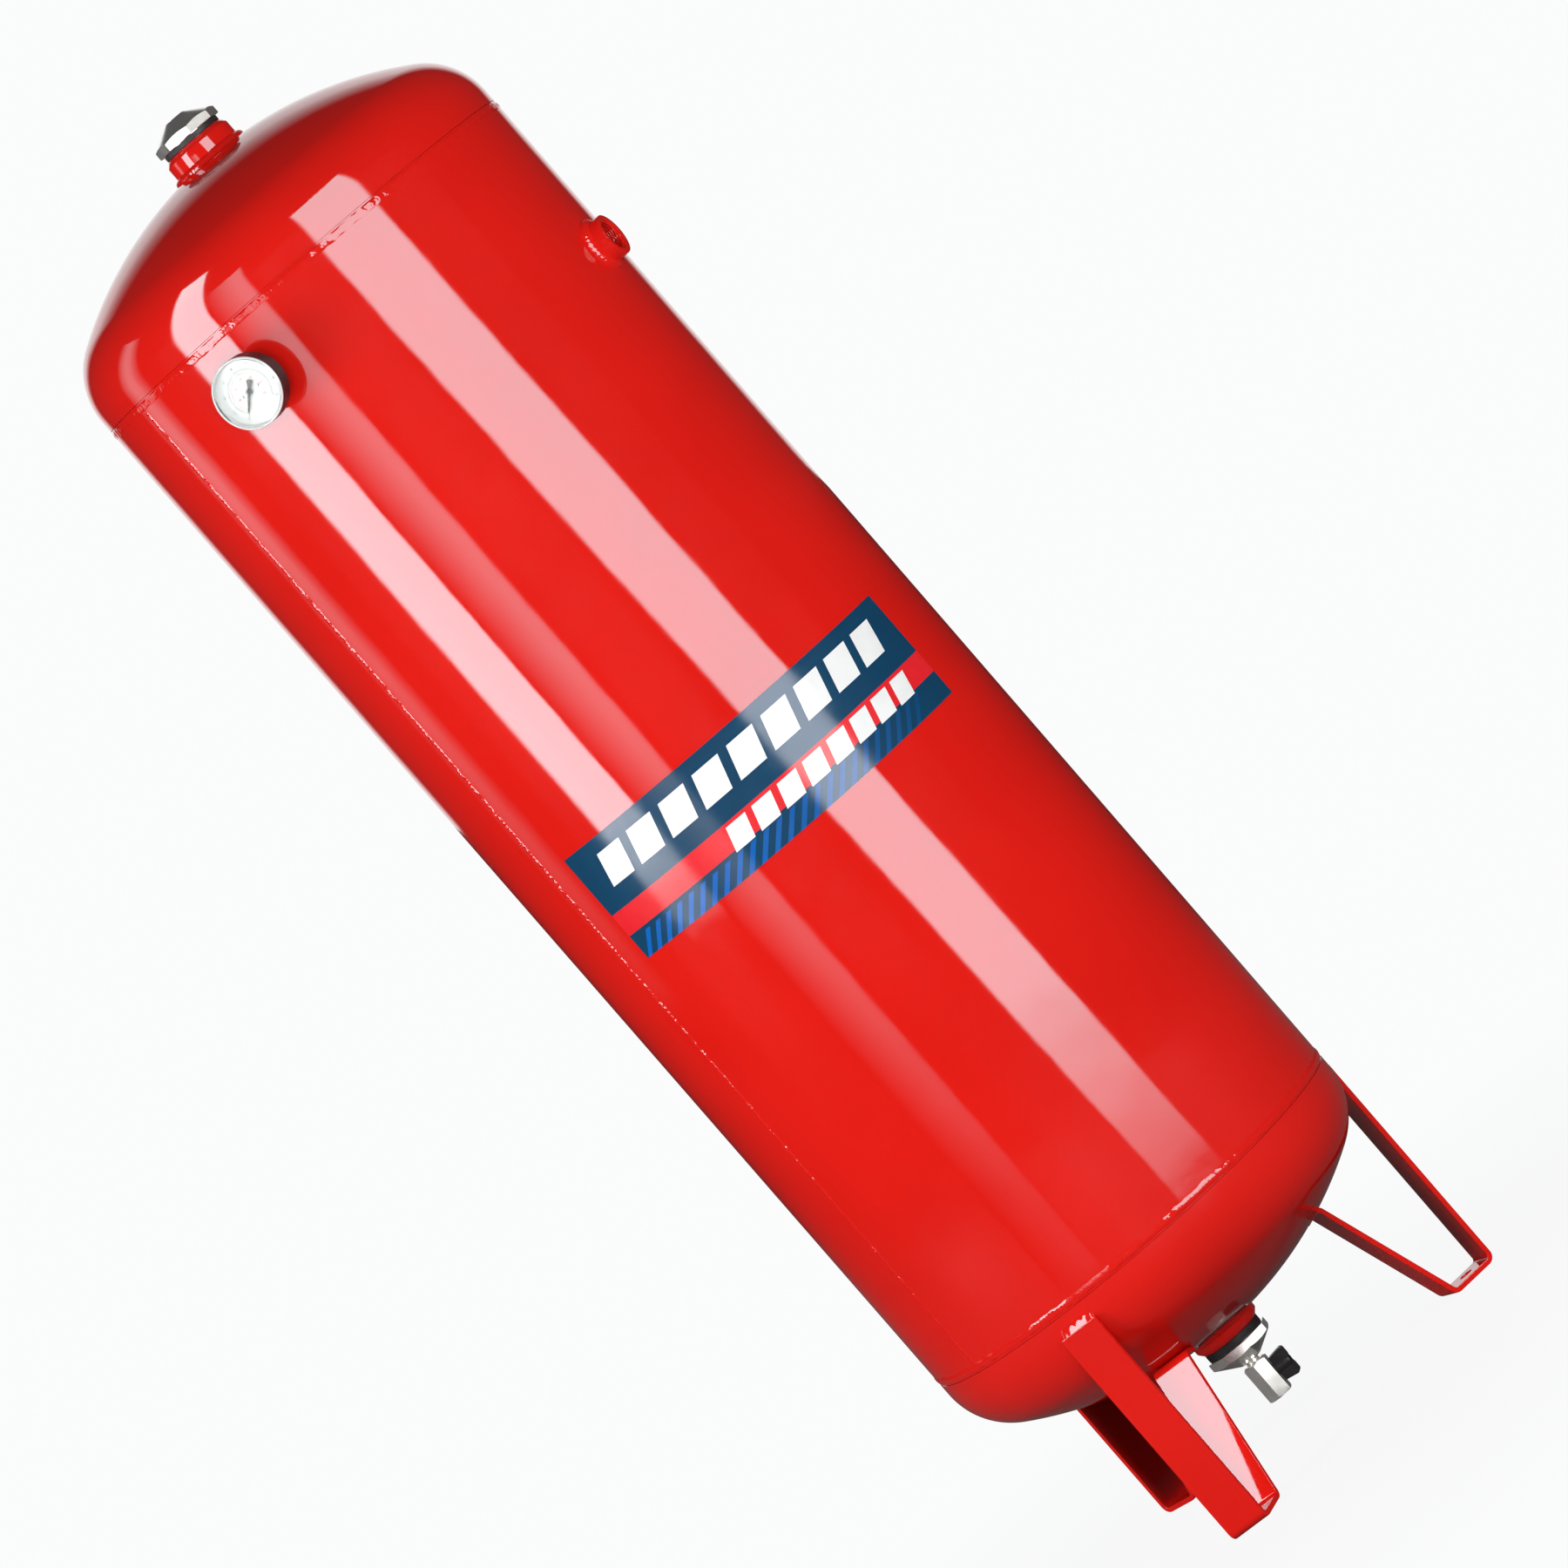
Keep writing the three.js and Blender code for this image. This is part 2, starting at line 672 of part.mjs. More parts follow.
add(valve, 'drain_valve_body', valveBody(), nickel());
add(valve, 'drain_valve_upper_seat', valveSeat(1), ptfe());
add(valve, 'drain_valve_lower_seat', valveSeat(-1), ptfe());
add(valve, 'drain_valve_insert', valveInsert(), nickel());
add(valve, 'drain_valve_ball', valveBall(), steel());
add(valve, 'drain_valve_stem', valveStem(), brass());
add(valve, 'drain_valve_stem_seal', stemSeal(), rubber());
add(valve, 'drain_valve_handle', valveHandle(), blackPlastic());
add(valve, 'drain_valve_handle_screw', handleScrew(), steel());

// ---------------------------------------------------------------- pressure gauge

// +Z points out of the dial, +Y up the dial, and z = 0 is the outside of the case's back.
const gauge = sideFrame(GAUGE_AZIMUTH, GAUGE_BACK, GAUGE_HEIGHT);

const GAUGE_ROUND = 40;
const CASE = { radius: 32.5, depth: 21, wall: 1.5, back: 2 };
const SOCKET = { thread: 6.5, neck: 6.2, hexFlats: 14, hexBack: -7 };
const FRONT_PLATE = 10.6; // back face of the movement's front plate
const DIAL = { radius: 29.5, back: 14, thickness: 0.8 };
const PLATE = 1;
const TUBE_RADIUS = 24.2;

const pinionPitch = (TOOTH_MODULE * PINION_TEETH) / 2;
const sectorPitch = (TOOTH_MODULE * SECTOR_TEETH) / 2;
const sectorPivotY = -(pinionPitch + sectorPitch);
const ARBOR = 0.8;

function gaugeCase() {
  const { radius, depth, wall, back } = CASE;
  const opening = SOCKET.neck + GAP;
  return turned(
    [
      point(opening, 0),
      point(radius - 1.5, 0),
      point(radius, 1.5),
      point(radius, depth),
      point(radius - wall, depth),
      point(radius - wall, back),
      point(opening, back),
    ],
    GAUGE_ROUND,
  );
}

function gaugeWindow() {
  const { radius, depth, wall } = CASE;
  const lip = radius - wall - GAP;
  return turned(
    [
      point(lip - 1, depth - 3),
      point(lip, depth - 3),
      point(lip, depth + GAP),
      point(radius, depth + GAP),
      point(radius - 0.8, depth + 2),
      point(0, depth + 2),
      point(0, depth + GAP),
      point(lip - 1, depth + GAP),
    ],
    GAUGE_ROUND,
  );
}

function gaugeSocket() {
  const { thread, neck, hexFlats, hexBack } = SOCKET;
  const hex = raised(polygon(hexFlats / 2 / Math.cos(Math.PI / 6), 6, 0), hexBack, -GAP);
  const inside = CASE.back + GAP;
  const base = block(9, 30, 1.6, 0, -11.5, inside + 0.8);
  const tubeHolder = block(9, 5, 9, 0, -24, inside + 5);
  const spigot = rod(thread, hexBack - 11, hexBack + 1, 20);
  const collar = rod(neck, -1, inside + 0.5, 20);
  return cut(join(spigot, hex, collar, base, tubeHolder), rod(2, hexBack - 12, 0, 12));
}

function gaugeSeal() {
  const [bottom, top] = [SOCKET.hexBack - 1.8 + GAP, SOCKET.hexBack - GAP];
  const [inner, outer] = [SOCKET.thread + GAP, 9.5];
  return turned([point(inner, bottom), point(outer, bottom), point(outer, top), point(inner, top)], 20);
}

// The flattened tube starts beside the socket's holder at the bottom and runs over the top to its free tip.
function bourdonTube() {
  const curve = new THREE.CatmullRomCurve3(
    arc(0, 0, TUBE_RADIUS, -104, -340, 24).map((p) => new THREE.Vector3(p.x, p.y, 8)),
  );
  const section = new THREE.Shape();
  section.absellipse(0, 0, 2.6, 1, 0, 2 * Math.PI);
  const settings = { steps: 24, curveSegments: 4, extrudePath: curve, bevelEnabled: false };
  return new THREE.ExtrudeGeometry(section, settings);
}

// A gear tooth as points: thinner than its space, so the wheels run free.
function tooth(pitchRadius, centreDegrees) {
  const across = (radius, halfWidth) => [-1, 1].map((side) => {
    const angle = radians(centreDegrees) + (side * halfWidth) / radius;
    return point(radius * Math.cos(angle), radius * Math.sin(angle));
  });
  const root = across(pitchRadius - 0.5, 0.26);
  const tip = across(pitchRadius + 0.3, 0.1);
  return [root[0], tip[0], tip[1], root[1]];
}

function pinion() {
  const pitch = 360 / PINION_TEETH;
  const teeth = Array.from({ length: PINION_TEETH }, (_, k) => tooth(pinionPitch, -90 + pitch * (k + 0.5)));
  return join(raised(teeth.flat(), 7.2, 8.8), rod(ARBOR, 4.6, 15.9, 10));
}

// The sector's teeth point up from its pivot at the origin. Its tail points to the lower right.
const TAIL = { x: 4.6, y: -3.4 };

function sectorGear() {
  const pitch = 360 / SECTOR_TEETH;
  const teeth = Array.from({ length: 11 }, (_, k) => tooth(sectorPitch, 90 + pitch * (k - 5))).flat();
  const fan = [...teeth, ...arc(0, 0, 9.6, 90 + 5 * pitch, 90 - 5 * pitch, 6)];
  const spoke = [point(1, 0), point(1, 10), point(-1, 10), point(-1, 0)];
  const tail = strapOutline([point(0, 0), point(TAIL.x * 1.25, TAIL.y * 1.25)], 3, 1);
  const plate = join(
    raised(fan, 7.4, 8.6),
    raised(spoke, 7.4, 8.6),
    rod(2.2, 7.4, 8.6, 12),
    raised(tail.reverse(), 7.4, 8.6),
    rod(ARBOR, 4.6, 11.4, 10),
  );
  return cut(plate, rod(0.9, 7, 9, 10).translate(TAIL.x, TAIL.y, 0));
}

// A link bar from the sector's tail to the tube's tip, with a pin in the tail.
function linkBar(span) {
  const bar = raised([point(-1, -0.9), point(span + 1, -0.9), point(span + 1, 0.9), point(-1, 0.9)], 9, 9.6);
  return join(bar, rod(0.55, 7.5, 9.3, 8));
}

// Plates and posts of the movement: one post above the pinion, one below and left of the sector's pivot.
const PLATE_RADIUS = 5;
const POSTS = [point(0, 6.4), point(-2.8, sectorPivotY - 4.6)];

function movementPlate(bottom, posts = []) {
  const outline = [
    ...arc(0, 4, PLATE_RADIUS, 0, 180, 6),
    ...arc(0, sectorPivotY - 2.1, PLATE_RADIUS, 180, 360, 6),
  ];
  const arborHole = rod(ARBOR + 0.25, bottom - 1, bottom + PLATE + 1, 12);
  const plate = join(raised(outline, bottom, bottom + PLATE), ...posts);
  return cut(plate, arborHole, arborHole.clone().translate(0, sectorPivotY, 0));
}

function movementFrame() {
  const bottom = CASE.back + 2 + 2 * GAP;
  const posts = POSTS.map((p) => rod(1.2, bottom + 0.5, FRONT_PLATE - GAP, 10).translate(p.x, p.y, 0));
  return movementPlate(bottom, posts);
}

function hairspring() {
  const turns = 2.5;
  const steps = 40;
  const side = (offset) => Array.from({ length: steps + 1 }, (_, i) => {
    const angle = (2 * Math.PI * turns * i) / steps;
    const radius = 1.4 + (2.6 * i) / steps + offset;
    return point(radius * Math.cos(angle), radius * Math.sin(angle));
  });
  return raised([...side(0.12), ...side(-0.12).reverse()], 9.3, 9.9);
}

function dialPlate() {
  const { radius, back, thickness } = DIAL;
  return turned(
    [point(1.6, back), point(radius, back), point(radius, back + thickness), point(1.6, back + thickness)],
    GAUGE_ROUND,
  );
}

// The dial screws run through the dial and a short spacer into the front plate.
const DIAL_SCREW_X = 9;

function dialScrew() {
  const top = DIAL.back + DIAL.thickness + GAP;
  const head = rod(1.6, top, top + 0.8, 12);
  const driveSlot = block(0.5, 4, 0.5, 0, 0, top + 0.8);
  return cut(join(head, rod(0.8, FRONT_PLATE + 0.2, top + 0.3, 10)), driveSlot);
}

function frontPlate() {
  const bar = block(2 * DIAL_SCREW_X + 5, 4, PLATE, 0, 0, FRONT_PLATE + PLATE / 2);
  const holes = [-1, 1].map((side) => rod(1.1, 10, 12, 10).translate(side * DIAL_SCREW_X, 0, 0));
  const arborHole = rod(ARBOR + 0.25, 10, 12, 12);
  return cut(join(movementPlate(FRONT_PLATE), bar), arborHole, ...holes);
}

function gaugePointer() {
  const [bottom, top] = [16.6, 17.2];
  const needle = [
    point(-1.1, -9),
    point(1.1, -9),
    point(0.9, 0),
    point(0.2, 23),
    point(-0.2, 23),
    point(-0.9, 0),
  ];
  const hub = rod(2.6, bottom - 0.4, top + 0.6, 16);
  return join(raised(needle, bottom, top), hub);
}

add(gauge, 'gauge_socket', gaugeSocket(), brass());
add(gauge, 'gauge_seal', gaugeSeal(), ptfe());
add(gauge, 'gauge_case', gaugeCase(), blackPlastic());
add(gauge, 'gauge_window', gaugeWindow(), clearPlastic());
add(gauge, 'gauge_dial', cut(
  dialPlate(),
  ...[-1, 1].map((side) => rod(1.1, DIAL.back - 1, DIAL.back + 2, 10).translate(side * DIAL_SCREW_X, 0, 0)),
), dialWhite());
add(gauge, 'gauge_dial_screw_left', dialScrew(), steel()).position.x = -DIAL_SCREW_X;
add(gauge, 'gauge_dial_screw_right', dialScrew(), steel()).position.x = DIAL_SCREW_X;
add(gauge, 'gauge_movement_frame', movementFrame(), brass());
add(gauge, 'gauge_movement_front_plate', frontPlate(), brass());
add(gauge, 'gauge_bourdon_tube', bourdonTube(), brass());
add(gauge, 'gauge_hairspring', hairspring(), brass());
add(gauge, 'gauge_pinion', pinion(), brass());
add(gauge, 'gauge_pointer', gaugePointer(), blackPlastic()).rotation.z = radians(360 - DIAL_START);

const sector = new THREE.Group();
sector.position.y = sectorPivotY;
sector.rotation.z = -radians(SECTOR_REST);
gauge.add(sector);
add(sector, 'gauge_sector', sectorGear(), brass());

// The link runs from the tail's hole to beside the tube's tip.
const tailPin = point(TAIL.x, TAIL.y).rotateAround(point(0, 0), -radians(SECTOR_REST));
tailPin.y += sectorPivotY;
const tubeTip = point(TUBE_RADIUS - 2.4, 2);
const link = new THREE.Group();
link.position.set(tailPin.x, tailPin.y, 0);
link.rotation.z = Math.atan2(tubeTip.y - tailPin.y, tubeTip.x - tailPin.x);
gauge.add(link);
add(link, 'gauge_link', linkBar(tubeTip.distanceTo(tailPin)), steel());

export default receiver;
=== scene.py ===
import json
import math
import random

import bmesh
import bpy
from mathutils import Matrix, Vector, noise

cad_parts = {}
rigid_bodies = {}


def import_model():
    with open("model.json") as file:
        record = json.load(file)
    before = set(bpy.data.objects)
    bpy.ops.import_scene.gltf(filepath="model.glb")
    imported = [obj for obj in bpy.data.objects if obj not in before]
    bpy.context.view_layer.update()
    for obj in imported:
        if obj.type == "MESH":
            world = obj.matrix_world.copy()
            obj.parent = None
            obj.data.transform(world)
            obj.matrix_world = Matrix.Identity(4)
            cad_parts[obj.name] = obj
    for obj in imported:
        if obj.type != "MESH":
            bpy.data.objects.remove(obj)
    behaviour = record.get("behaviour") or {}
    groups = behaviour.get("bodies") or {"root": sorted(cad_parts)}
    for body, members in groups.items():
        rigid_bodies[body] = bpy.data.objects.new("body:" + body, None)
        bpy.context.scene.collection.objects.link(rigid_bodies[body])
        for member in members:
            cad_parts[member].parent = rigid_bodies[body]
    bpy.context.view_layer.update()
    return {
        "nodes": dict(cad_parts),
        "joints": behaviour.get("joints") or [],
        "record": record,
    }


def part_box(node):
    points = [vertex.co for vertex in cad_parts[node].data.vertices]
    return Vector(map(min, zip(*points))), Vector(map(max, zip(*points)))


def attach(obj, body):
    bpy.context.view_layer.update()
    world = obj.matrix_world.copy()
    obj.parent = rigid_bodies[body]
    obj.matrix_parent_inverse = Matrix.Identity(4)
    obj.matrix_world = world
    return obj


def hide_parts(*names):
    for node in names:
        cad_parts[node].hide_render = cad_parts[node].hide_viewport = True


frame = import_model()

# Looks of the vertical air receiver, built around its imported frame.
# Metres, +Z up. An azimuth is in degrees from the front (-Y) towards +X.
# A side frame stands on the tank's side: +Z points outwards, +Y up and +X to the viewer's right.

MM = 0.001
TAU = 2 * math.pi
random.seed(5)


# ---------------------------------------------------------------- measuring the frame

def node_points(node):
    return [vertex.co.copy() for vertex in frame["nodes"][node].data.vertices]


def azimuth_of(node):
    points = node_points(node)
    east = sum(p.x for p in points)
    south = -sum(p.y for p in points)
    return math.degrees(math.atan2(east, south))


def mid_height(node):
    low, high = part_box(node)
    return (low.z + high.z) / 2


def side_frame(azimuth, height, radius=0):
    a = math.radians(azimuth)
    across = Vector((math.cos(a), math.sin(a), 0))
    out = Vector((math.sin(a), -math.cos(a), 0))
    up = Vector((0, 0, 1))
    turn = Matrix((across, up, out)).transposed().to_4x4()
    return Matrix.Translation(out * radius + up * height) @ turn


def standing_frame(azimuth, height=0):
    """+X points outwards at the azimuth and +Z up."""
    return Matrix.Translation((0, 0, height)) @ Matrix.Rotation(math.radians(azimuth - 90), 4, "Z")


def local_box(node, place):
    back = place.inverted()
    points = [back @ p for p in node_points(node)]
    low = Vector(min(p[i] for p in points) for i in range(3))
    high = Vector(max(p[i] for p in points) for i in range(3))
    return low, high


def joint(name):
    return next(j for j in frame["joints"] if j["name"] == name)


TANK_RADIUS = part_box("shell")[1].x
LOW_SEAM = mid_height("bottom_girth_weld")
HIGH_SEAM = mid_height("top_girth_weld")
WALL = 3 * MM
CROWN_RADIUS = 360 * MM
KNUCKLE_RADIUS = 69 * MM
FLANGE = 17.5 * MM
KNUCKLE_CENTRE = TANK_RADIUS - KNUCKLE_RADIUS
CROWN_CENTRE = FLANGE - math.sqrt((CROWN_RADIUS - KNUCKLE_RADIUS) ** 2 - KNUCKLE_CENTRE ** 2)
TOP_APEX = HIGH_SEAM + CROWN_CENTRE + CROWN_RADIUS
BOTTOM_APEX = LOW_SEAM - CROWN_CENTRE - CROWN_RADIUS
BOSS_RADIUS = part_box("top_boss")[1].x
LONG_SEAM_AZIMUTH = azimuth_of("long_seam_weld")
LEGS = ("front_leg", "right_leg", "rear_leg")

GAUGE_PLACE = side_frame(azimuth_of("gauge_case"), mid_height("gauge_case"))
PORT_PLACE = side_frame(azimuth_of("side_port_boss"), mid_height("side_port_boss"))

CAMERA_AZIMUTH = -22.9
CAMERA_DISTANCE = 7.17
CAMERA_HEIGHT = 1.117
AIM_HEIGHT = 0.7471
AIM_RIGHT = 0.0216
CAMERA_LEAN = 40.95
LENS = 184.9


# ---------------------------------------------------------------- mesh helpers

def linked(name, data):
    obj = bpy.data.objects.new(name, data)
    bpy.context.scene.collection.objects.link(obj)
    return obj


def new_object(name, vertices, faces):
    mesh = bpy.data.meshes.new(name)
    mesh.from_pydata([tuple(v) for v in vertices], [], faces)
    return linked(name, mesh)


def tidied(obj, sharp=35):
    """Welds doubled points, faces the surface outwards and smooths it up to an angle."""
    shape = bmesh.new()
    shape.from_mesh(obj.data)
    bmesh.ops.remove_doubles(shape, verts=shape.verts, dist=1e-6)
    bmesh.ops.dissolve_degenerate(shape, edges=shape.edges, dist=1e-7)
    bmesh.ops.recalc_face_normals(shape, faces=shape.faces)
    for face in shape.faces:
        face.smooth = True
    shape.to_mesh(obj.data)
    shape.free()
    obj.data.set_sharp_from_angle(angle=math.radians(sharp))
    return obj


def joined_rows(name, rows, ring=True, capped=False, sharp=35):
    """A surface through rows of points. Each row is a closed outline, and the rows may close in a ring."""
    width = len(rows[0])
    vertices = [p for row in rows for p in row]
    faces = []
    for i in range(len(rows) if ring else len(rows) - 1):
        j = (i + 1) % len(rows)
        for k in range(width):
            m = (k + 1) % width
            faces.append((i * width + k, j * width + k, j * width + m, i * width + m))
    if capped:
        faces.append(tuple(range(width)))
        faces.append(tuple((len(rows) - 1) * width + k for k in range(width)))
    return tidied(new_object(name, vertices, faces), sharp)


def around(angle, radius, height):
    return Vector((radius * math.cos(angle), radius * math.sin(angle), height))


def swept(name, outline_at, segments, place=Matrix(), sharp=35):
    """A surface round +Z. outline_at(angle) gives the closed outline of (radius, height) points there."""
    angles = [TAU * i / segments for i in range(segments)]
    rows = [[place @ around(angle, r, z) for r, z in outline_at(angle)] for angle in angles]
    return joined_rows(name, rows, sharp=sharp)


def turned(name, outline, segments=96, place=Matrix(), shape=None, sharp=35):
    """A closed outline of (radius, height) points turned about +Z. shape may move each point."""
    def outline_at(angle):
        return [shape(angle, r, z) for r, z in outline] if shape else outline

    return swept(name, outline_at, segments, place, sharp)


def rod(radius, bottom, top, segments, place):
    """A plain cylinder, mostly for cutting holes."""
    return turned("rod", rectangle(0, radius, bottom, top), segments, place)


def rectangle(left, right, bottom, top):
    return [(left, bottom), (right, bottom), (right, top), (left, top)]


def raised(name, outline, bottom, top, place=Matrix(), sharp=35):
    """A closed (x, y) outline raised from z = bottom to z = top."""
    rows = [[place @ Vector((x, y, z)) for x, y in outline] for z in (bottom, top)]
    return joined_rows(name, rows, ring=False, capped=True, sharp=sharp)


def arc(x, y, radius, start, end, steps):
    """Points along an arc, both ends included. Angles in degrees."""
    angles = [math.radians(start + (end - start) * i / steps) for i in range(steps + 1)]
    return [(x + radius * math.cos(a), y + radius * math.sin(a)) for a in angles]


def softened(outline, radius, steps=3):
    """The outline with each corner rounded, as far as its sides allow."""
    result = []
    count = len(outline)
    for i in range(count):
        corner = Vector(outline[i])
        before = Vector(outline[i - 1]) - corner
        after = Vector(outline[(i + 1) % count]) - corner
        reach = min(radius, before.length * 0.45, after.length * 0.45)
        start = corner + before.normalized() * reach
        end = corner + after.normalized() * reach
        for k in range(steps + 1):
            t = k / steps
            result.append(tuple(start.lerp(corner, t).lerp(corner.lerp(end, t), t)))
    return result


def baked(obj):
    """Replaces the object's mesh by the result of its modifiers."""
    graph = bpy.context.evaluated_depsgraph_get()
    mesh = bpy.data.meshes.new_from_object(obj.evaluated_get(graph))
    obj.modifiers.clear()
    obj.data = mesh
    return obj


def combined(obj, tool, operation):
    step = obj.modifiers.new("combine", "BOOLEAN")
    step.operation = operation
    step.solver = "EXACT"
    step.object = tool
    baked(obj)
    bpy.data.objects.remove(tool)


def cut(obj, *tools, sharp=35):
    for tool in tools:
        combined(obj, tool, "DIFFERENCE")
    return tidied(obj, sharp)


def merged(name, *parts):
    """Several closed bodies as one object."""
    shape = bmesh.new()
    for part in parts:
        part.data.transform(part.matrix_world)
        shape.from_mesh(part.data)
        bpy.data.objects.remove(part)
    mesh = bpy.data.meshes.new(name)
    shape.to_mesh(mesh)
    shape.free()
    return linked(name, mesh)


def bevelled(obj, width, segments=3):
    step = obj.modifiers.new("edges", "BEVEL")
    step.width = width
    step.segments = segments
    step.limit_method = "ANGLE"
    step.angle_limit = math.radians(35)
    step.harden_normals = True


def finished(obj, look, stands_for=(), body="receiver"):
    """Gives a piece its look, the frame nodes it takes the place of and its body."""
    obj.data.materials.clear()
    obj.data.materials.append(look)
    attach(obj, body)
    if stands_for:
        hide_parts(*stands_for)


def dressed(obj, slot, *stands_for, body="receiver"):
    """Finishes a piece in the look of its material slot."""
    finished(obj, SLOT_LOOKS[slot](), stands_for, body)


# ---------------------------------------------------------------- materials

class Tree:
    """A node tree, with short ways to add to it."""

    def __init__(self, owner):
        owner.use_nodes = True
        self.nodes = owner.node_tree.nodes
        self.links = owner.node_tree.links

    def add(self, kind, **inputs):
        node = self.nodes.new(kind)
        for name, value in inputs.items():
            self.put(node.inputs[name.replace("_", " ")], value)
        return node

    def put(self, socket, value):
        if isinstance(value, bpy.types.NodeSocket):
            self.links.new(value, socket)
        else:
            socket.default_value = value

    def work(self, operation, *values, kind="ShaderNodeMath"):
        node = self.add(kind)
        node.operation = operation
        for socket, value in zip(node.inputs, values):
            self.put(socket, value)
        return node.outputs["Value"]

    def length(self, vector):
        return self.work("LENGTH", vector, kind="ShaderNodeVectorMath")

    def span(self, value, start, end, low=0.0, high=1.0):
        """Maps a value from start..end to low..high, and holds it at both ends."""
        ends = {"From_Min": start, "From_Max": end, "To_Min": low, "To_Max": high}
        return self.add("ShaderNodeMapRange", Value=value, **ends).outputs[0]

    def mixed(self, share, first, second):
        node = self.add("ShaderNodeMixShader", Fac=share)
        self.put(node.inputs[1], first)
        self.put(node.inputs[2], second)
        return node.outputs[0]


class Graph(Tree):
    """A material's node tree."""

    def __init__(self, name):
        self.material = bpy.data.materials.new(name)
        super().__init__(self.material)
        self.surface = self.nodes["Principled BSDF"]
        self.place = self.add("ShaderNodeTexCoord").outputs["Object"]

    def noise(self, scale, detail=2.0):
        return self.add("ShaderNodeTexNoise", Vector=self.place, Scale=scale, Detail=detail).outputs["Fac"]

    def ramp(self, fac, low, high):
        node = self.add("ShaderNodeValToRGB", Fac=fac)
        first, last = node.color_ramp.elements
        first.position, last.position = 0.3, 0.7
        first.color = (*low, 1) if isinstance(low, tuple) else (low, low, low, 1)
        last.color = (*high, 1) if isinstance(high, tuple) else (high, high, high, 1)
        return node.outputs[0]

    def bump(self, height, distance, below=None):
        node = self.add("ShaderNodeBump", Height=height, Distance=distance, Strength=1.0)
        if below is not None:
            self.put(node.inputs["Normal"], below)
        return node.outputs[0]

    def set(self, **inputs):
        for name, value in inputs.items():
            self.put(self.surface.inputs[name.replace("_", " ")], value)

    def show(self, shader):
        """Puts a shader in the place of the principled one."""
        self.put(self.nodes["Material Output"].inputs["Surface"], shader)
        return self.material


def once(build):
    """Builds a material the first time it's asked for and hands out the same one afterwards."""
    made = []

    def get():
        if not made:
            made.append(build())
        return made[0]

    return get


@once
def enamel():
    g = Graph("red_enamel")
    g.set(Base_Color=g.ramp(g.noise(6), (0.70, 0.0105, 0.0065), (0.75, 0.0125, 0.0078)))
    waves = g.bump(g.noise(18, 1.0), 0.00022)
    peel = g.bump(g.noise(110, 2.0), 0.000012, below=waves)
    g.set(Normal=peel, Roughness=g.ramp(g.noise(60), 0.045, 0.075), IOR=1.5)
    g.set(Specular_Tint=(0.42, 1.0, 1.06, 1))
    return g.material


def printed(g, colour):
    """A printed vinyl surface, with the slow waves of the enamel under it."""
    g.set(Base_Color=colour, Normal=g.bump(g.noise(16, 1.0), 0.00022))
    g.set(Roughness=g.ramp(g.noise(80), 0.13, 0.18), IOR=1.42)
    return g.material


def ink(name, light, dark, grain=60):
    g = Graph(name)
    return printed(g, g.ramp(g.noise(grain), dark, light))


@once
def label_vinyl():
    return ink("label_vinyl", (0.0075, 0.055, 0.122), (0.0065, 0.050, 0.112), 30)


@once
def red_ink():
    return ink("label_red_ink", (0.82, 0.022, 0.030), (0.78, 0.018, 0.026))


@once
def fading_blue_ink():
    """Bright blue at the label's left end and nearly the label's own blue at its right end."""
    g = Graph("label_blue_ink")
    across = g.add("ShaderNodeSeparateXYZ", Vector=g.place).outputs["X"]
    bright = g.ramp(g.noise(60), (0.004, 0.120, 0.48), (0.005, 0.130, 0.52))
    mix = g.add("ShaderNodeMix")
    mix.data_type = "RGBA"
    g.put(mix.inputs["Factor"], g.span(across, -0.17, 0.10))
    g.put(mix.inputs[6], bright)
    g.put(mix.inputs[7], (0.006, 0.062, 0.16, 1))
    return printed(g, mix.outputs[2])


@once
def white_ink():
    return ink("label_white_ink", (0.92, 0.93, 0.93), (0.88, 0.89, 0.89))


def metal(name, light, dark, low, high, metallic=1.0):
    g = Graph(name)
    g.set(Base_Color=g.ramp(g.noise(25), dark, light), Metallic=metallic)
    g.set(Roughness=g.ramp(g.noise(70), low, high), Normal=g.bump(g.noise(400, 3.0), 0.000004))
    return g.material


@once
def nickel():
    return metal("nickel", (0.92, 0.905, 0.87), (0.86, 0.845, 0.81), 0.12, 0.22, 0.85)


@once
def brass():
    return metal("brass", (0.72, 0.50, 0.20), (0.60, 0.40, 0.15), 0.25, 0.38)


@once
def bright_steel():
    return metal("bright_steel", (0.62, 0.62, 0.63), (0.50, 0.50, 0.51), 0.22, 0.34)


def plain(name, light, dark, low, high, index=1.45):
    g = Graph(name)
    g.set(Base_Color=g.ramp(g.noise(35), dark, light), IOR=index)
    g.set(Roughness=g.ramp(g.noise(90), low, high), Normal=g.bump(g.noise(300, 2.0), 0.00001))
    return g.material


@once
def black_plastic():
    return plain("black_plastic", (0.020, 0.019, 0.020), (0.012, 0.011, 0.012), 0.28, 0.40, index=1.3)


@once
def black_rubber():
    return plain("black_rubber", (0.014, 0.014, 0.015), (0.007, 0.007, 0.008), 0.55, 0.75)


@once
def ptfe():
    return plain("ptfe", (0.84, 0.83, 0.80), (0.76, 0.75, 0.72), 0.45, 0.6)


@once
def dial_white():
    return plain("dial_white", (0.79, 0.80, 0.795), (0.76, 0.77, 0.765), 0.40, 0.50)


@once
def scale_black():
    return plain("scale_black", (0.10, 0.10, 0.11), (0.08, 0.08, 0.09), 0.5, 0.6)


@once
def scale_red():
    return plain("scale_red", (0.56, 0.06, 0.055), (0.50, 0.05, 0.05), 0.5, 0.6)


@once
def pointer_black():
    return plain("pointer_black", (0.045, 0.040, 0.038), (0.03, 0.027, 0.026), 0.4, 0.5)


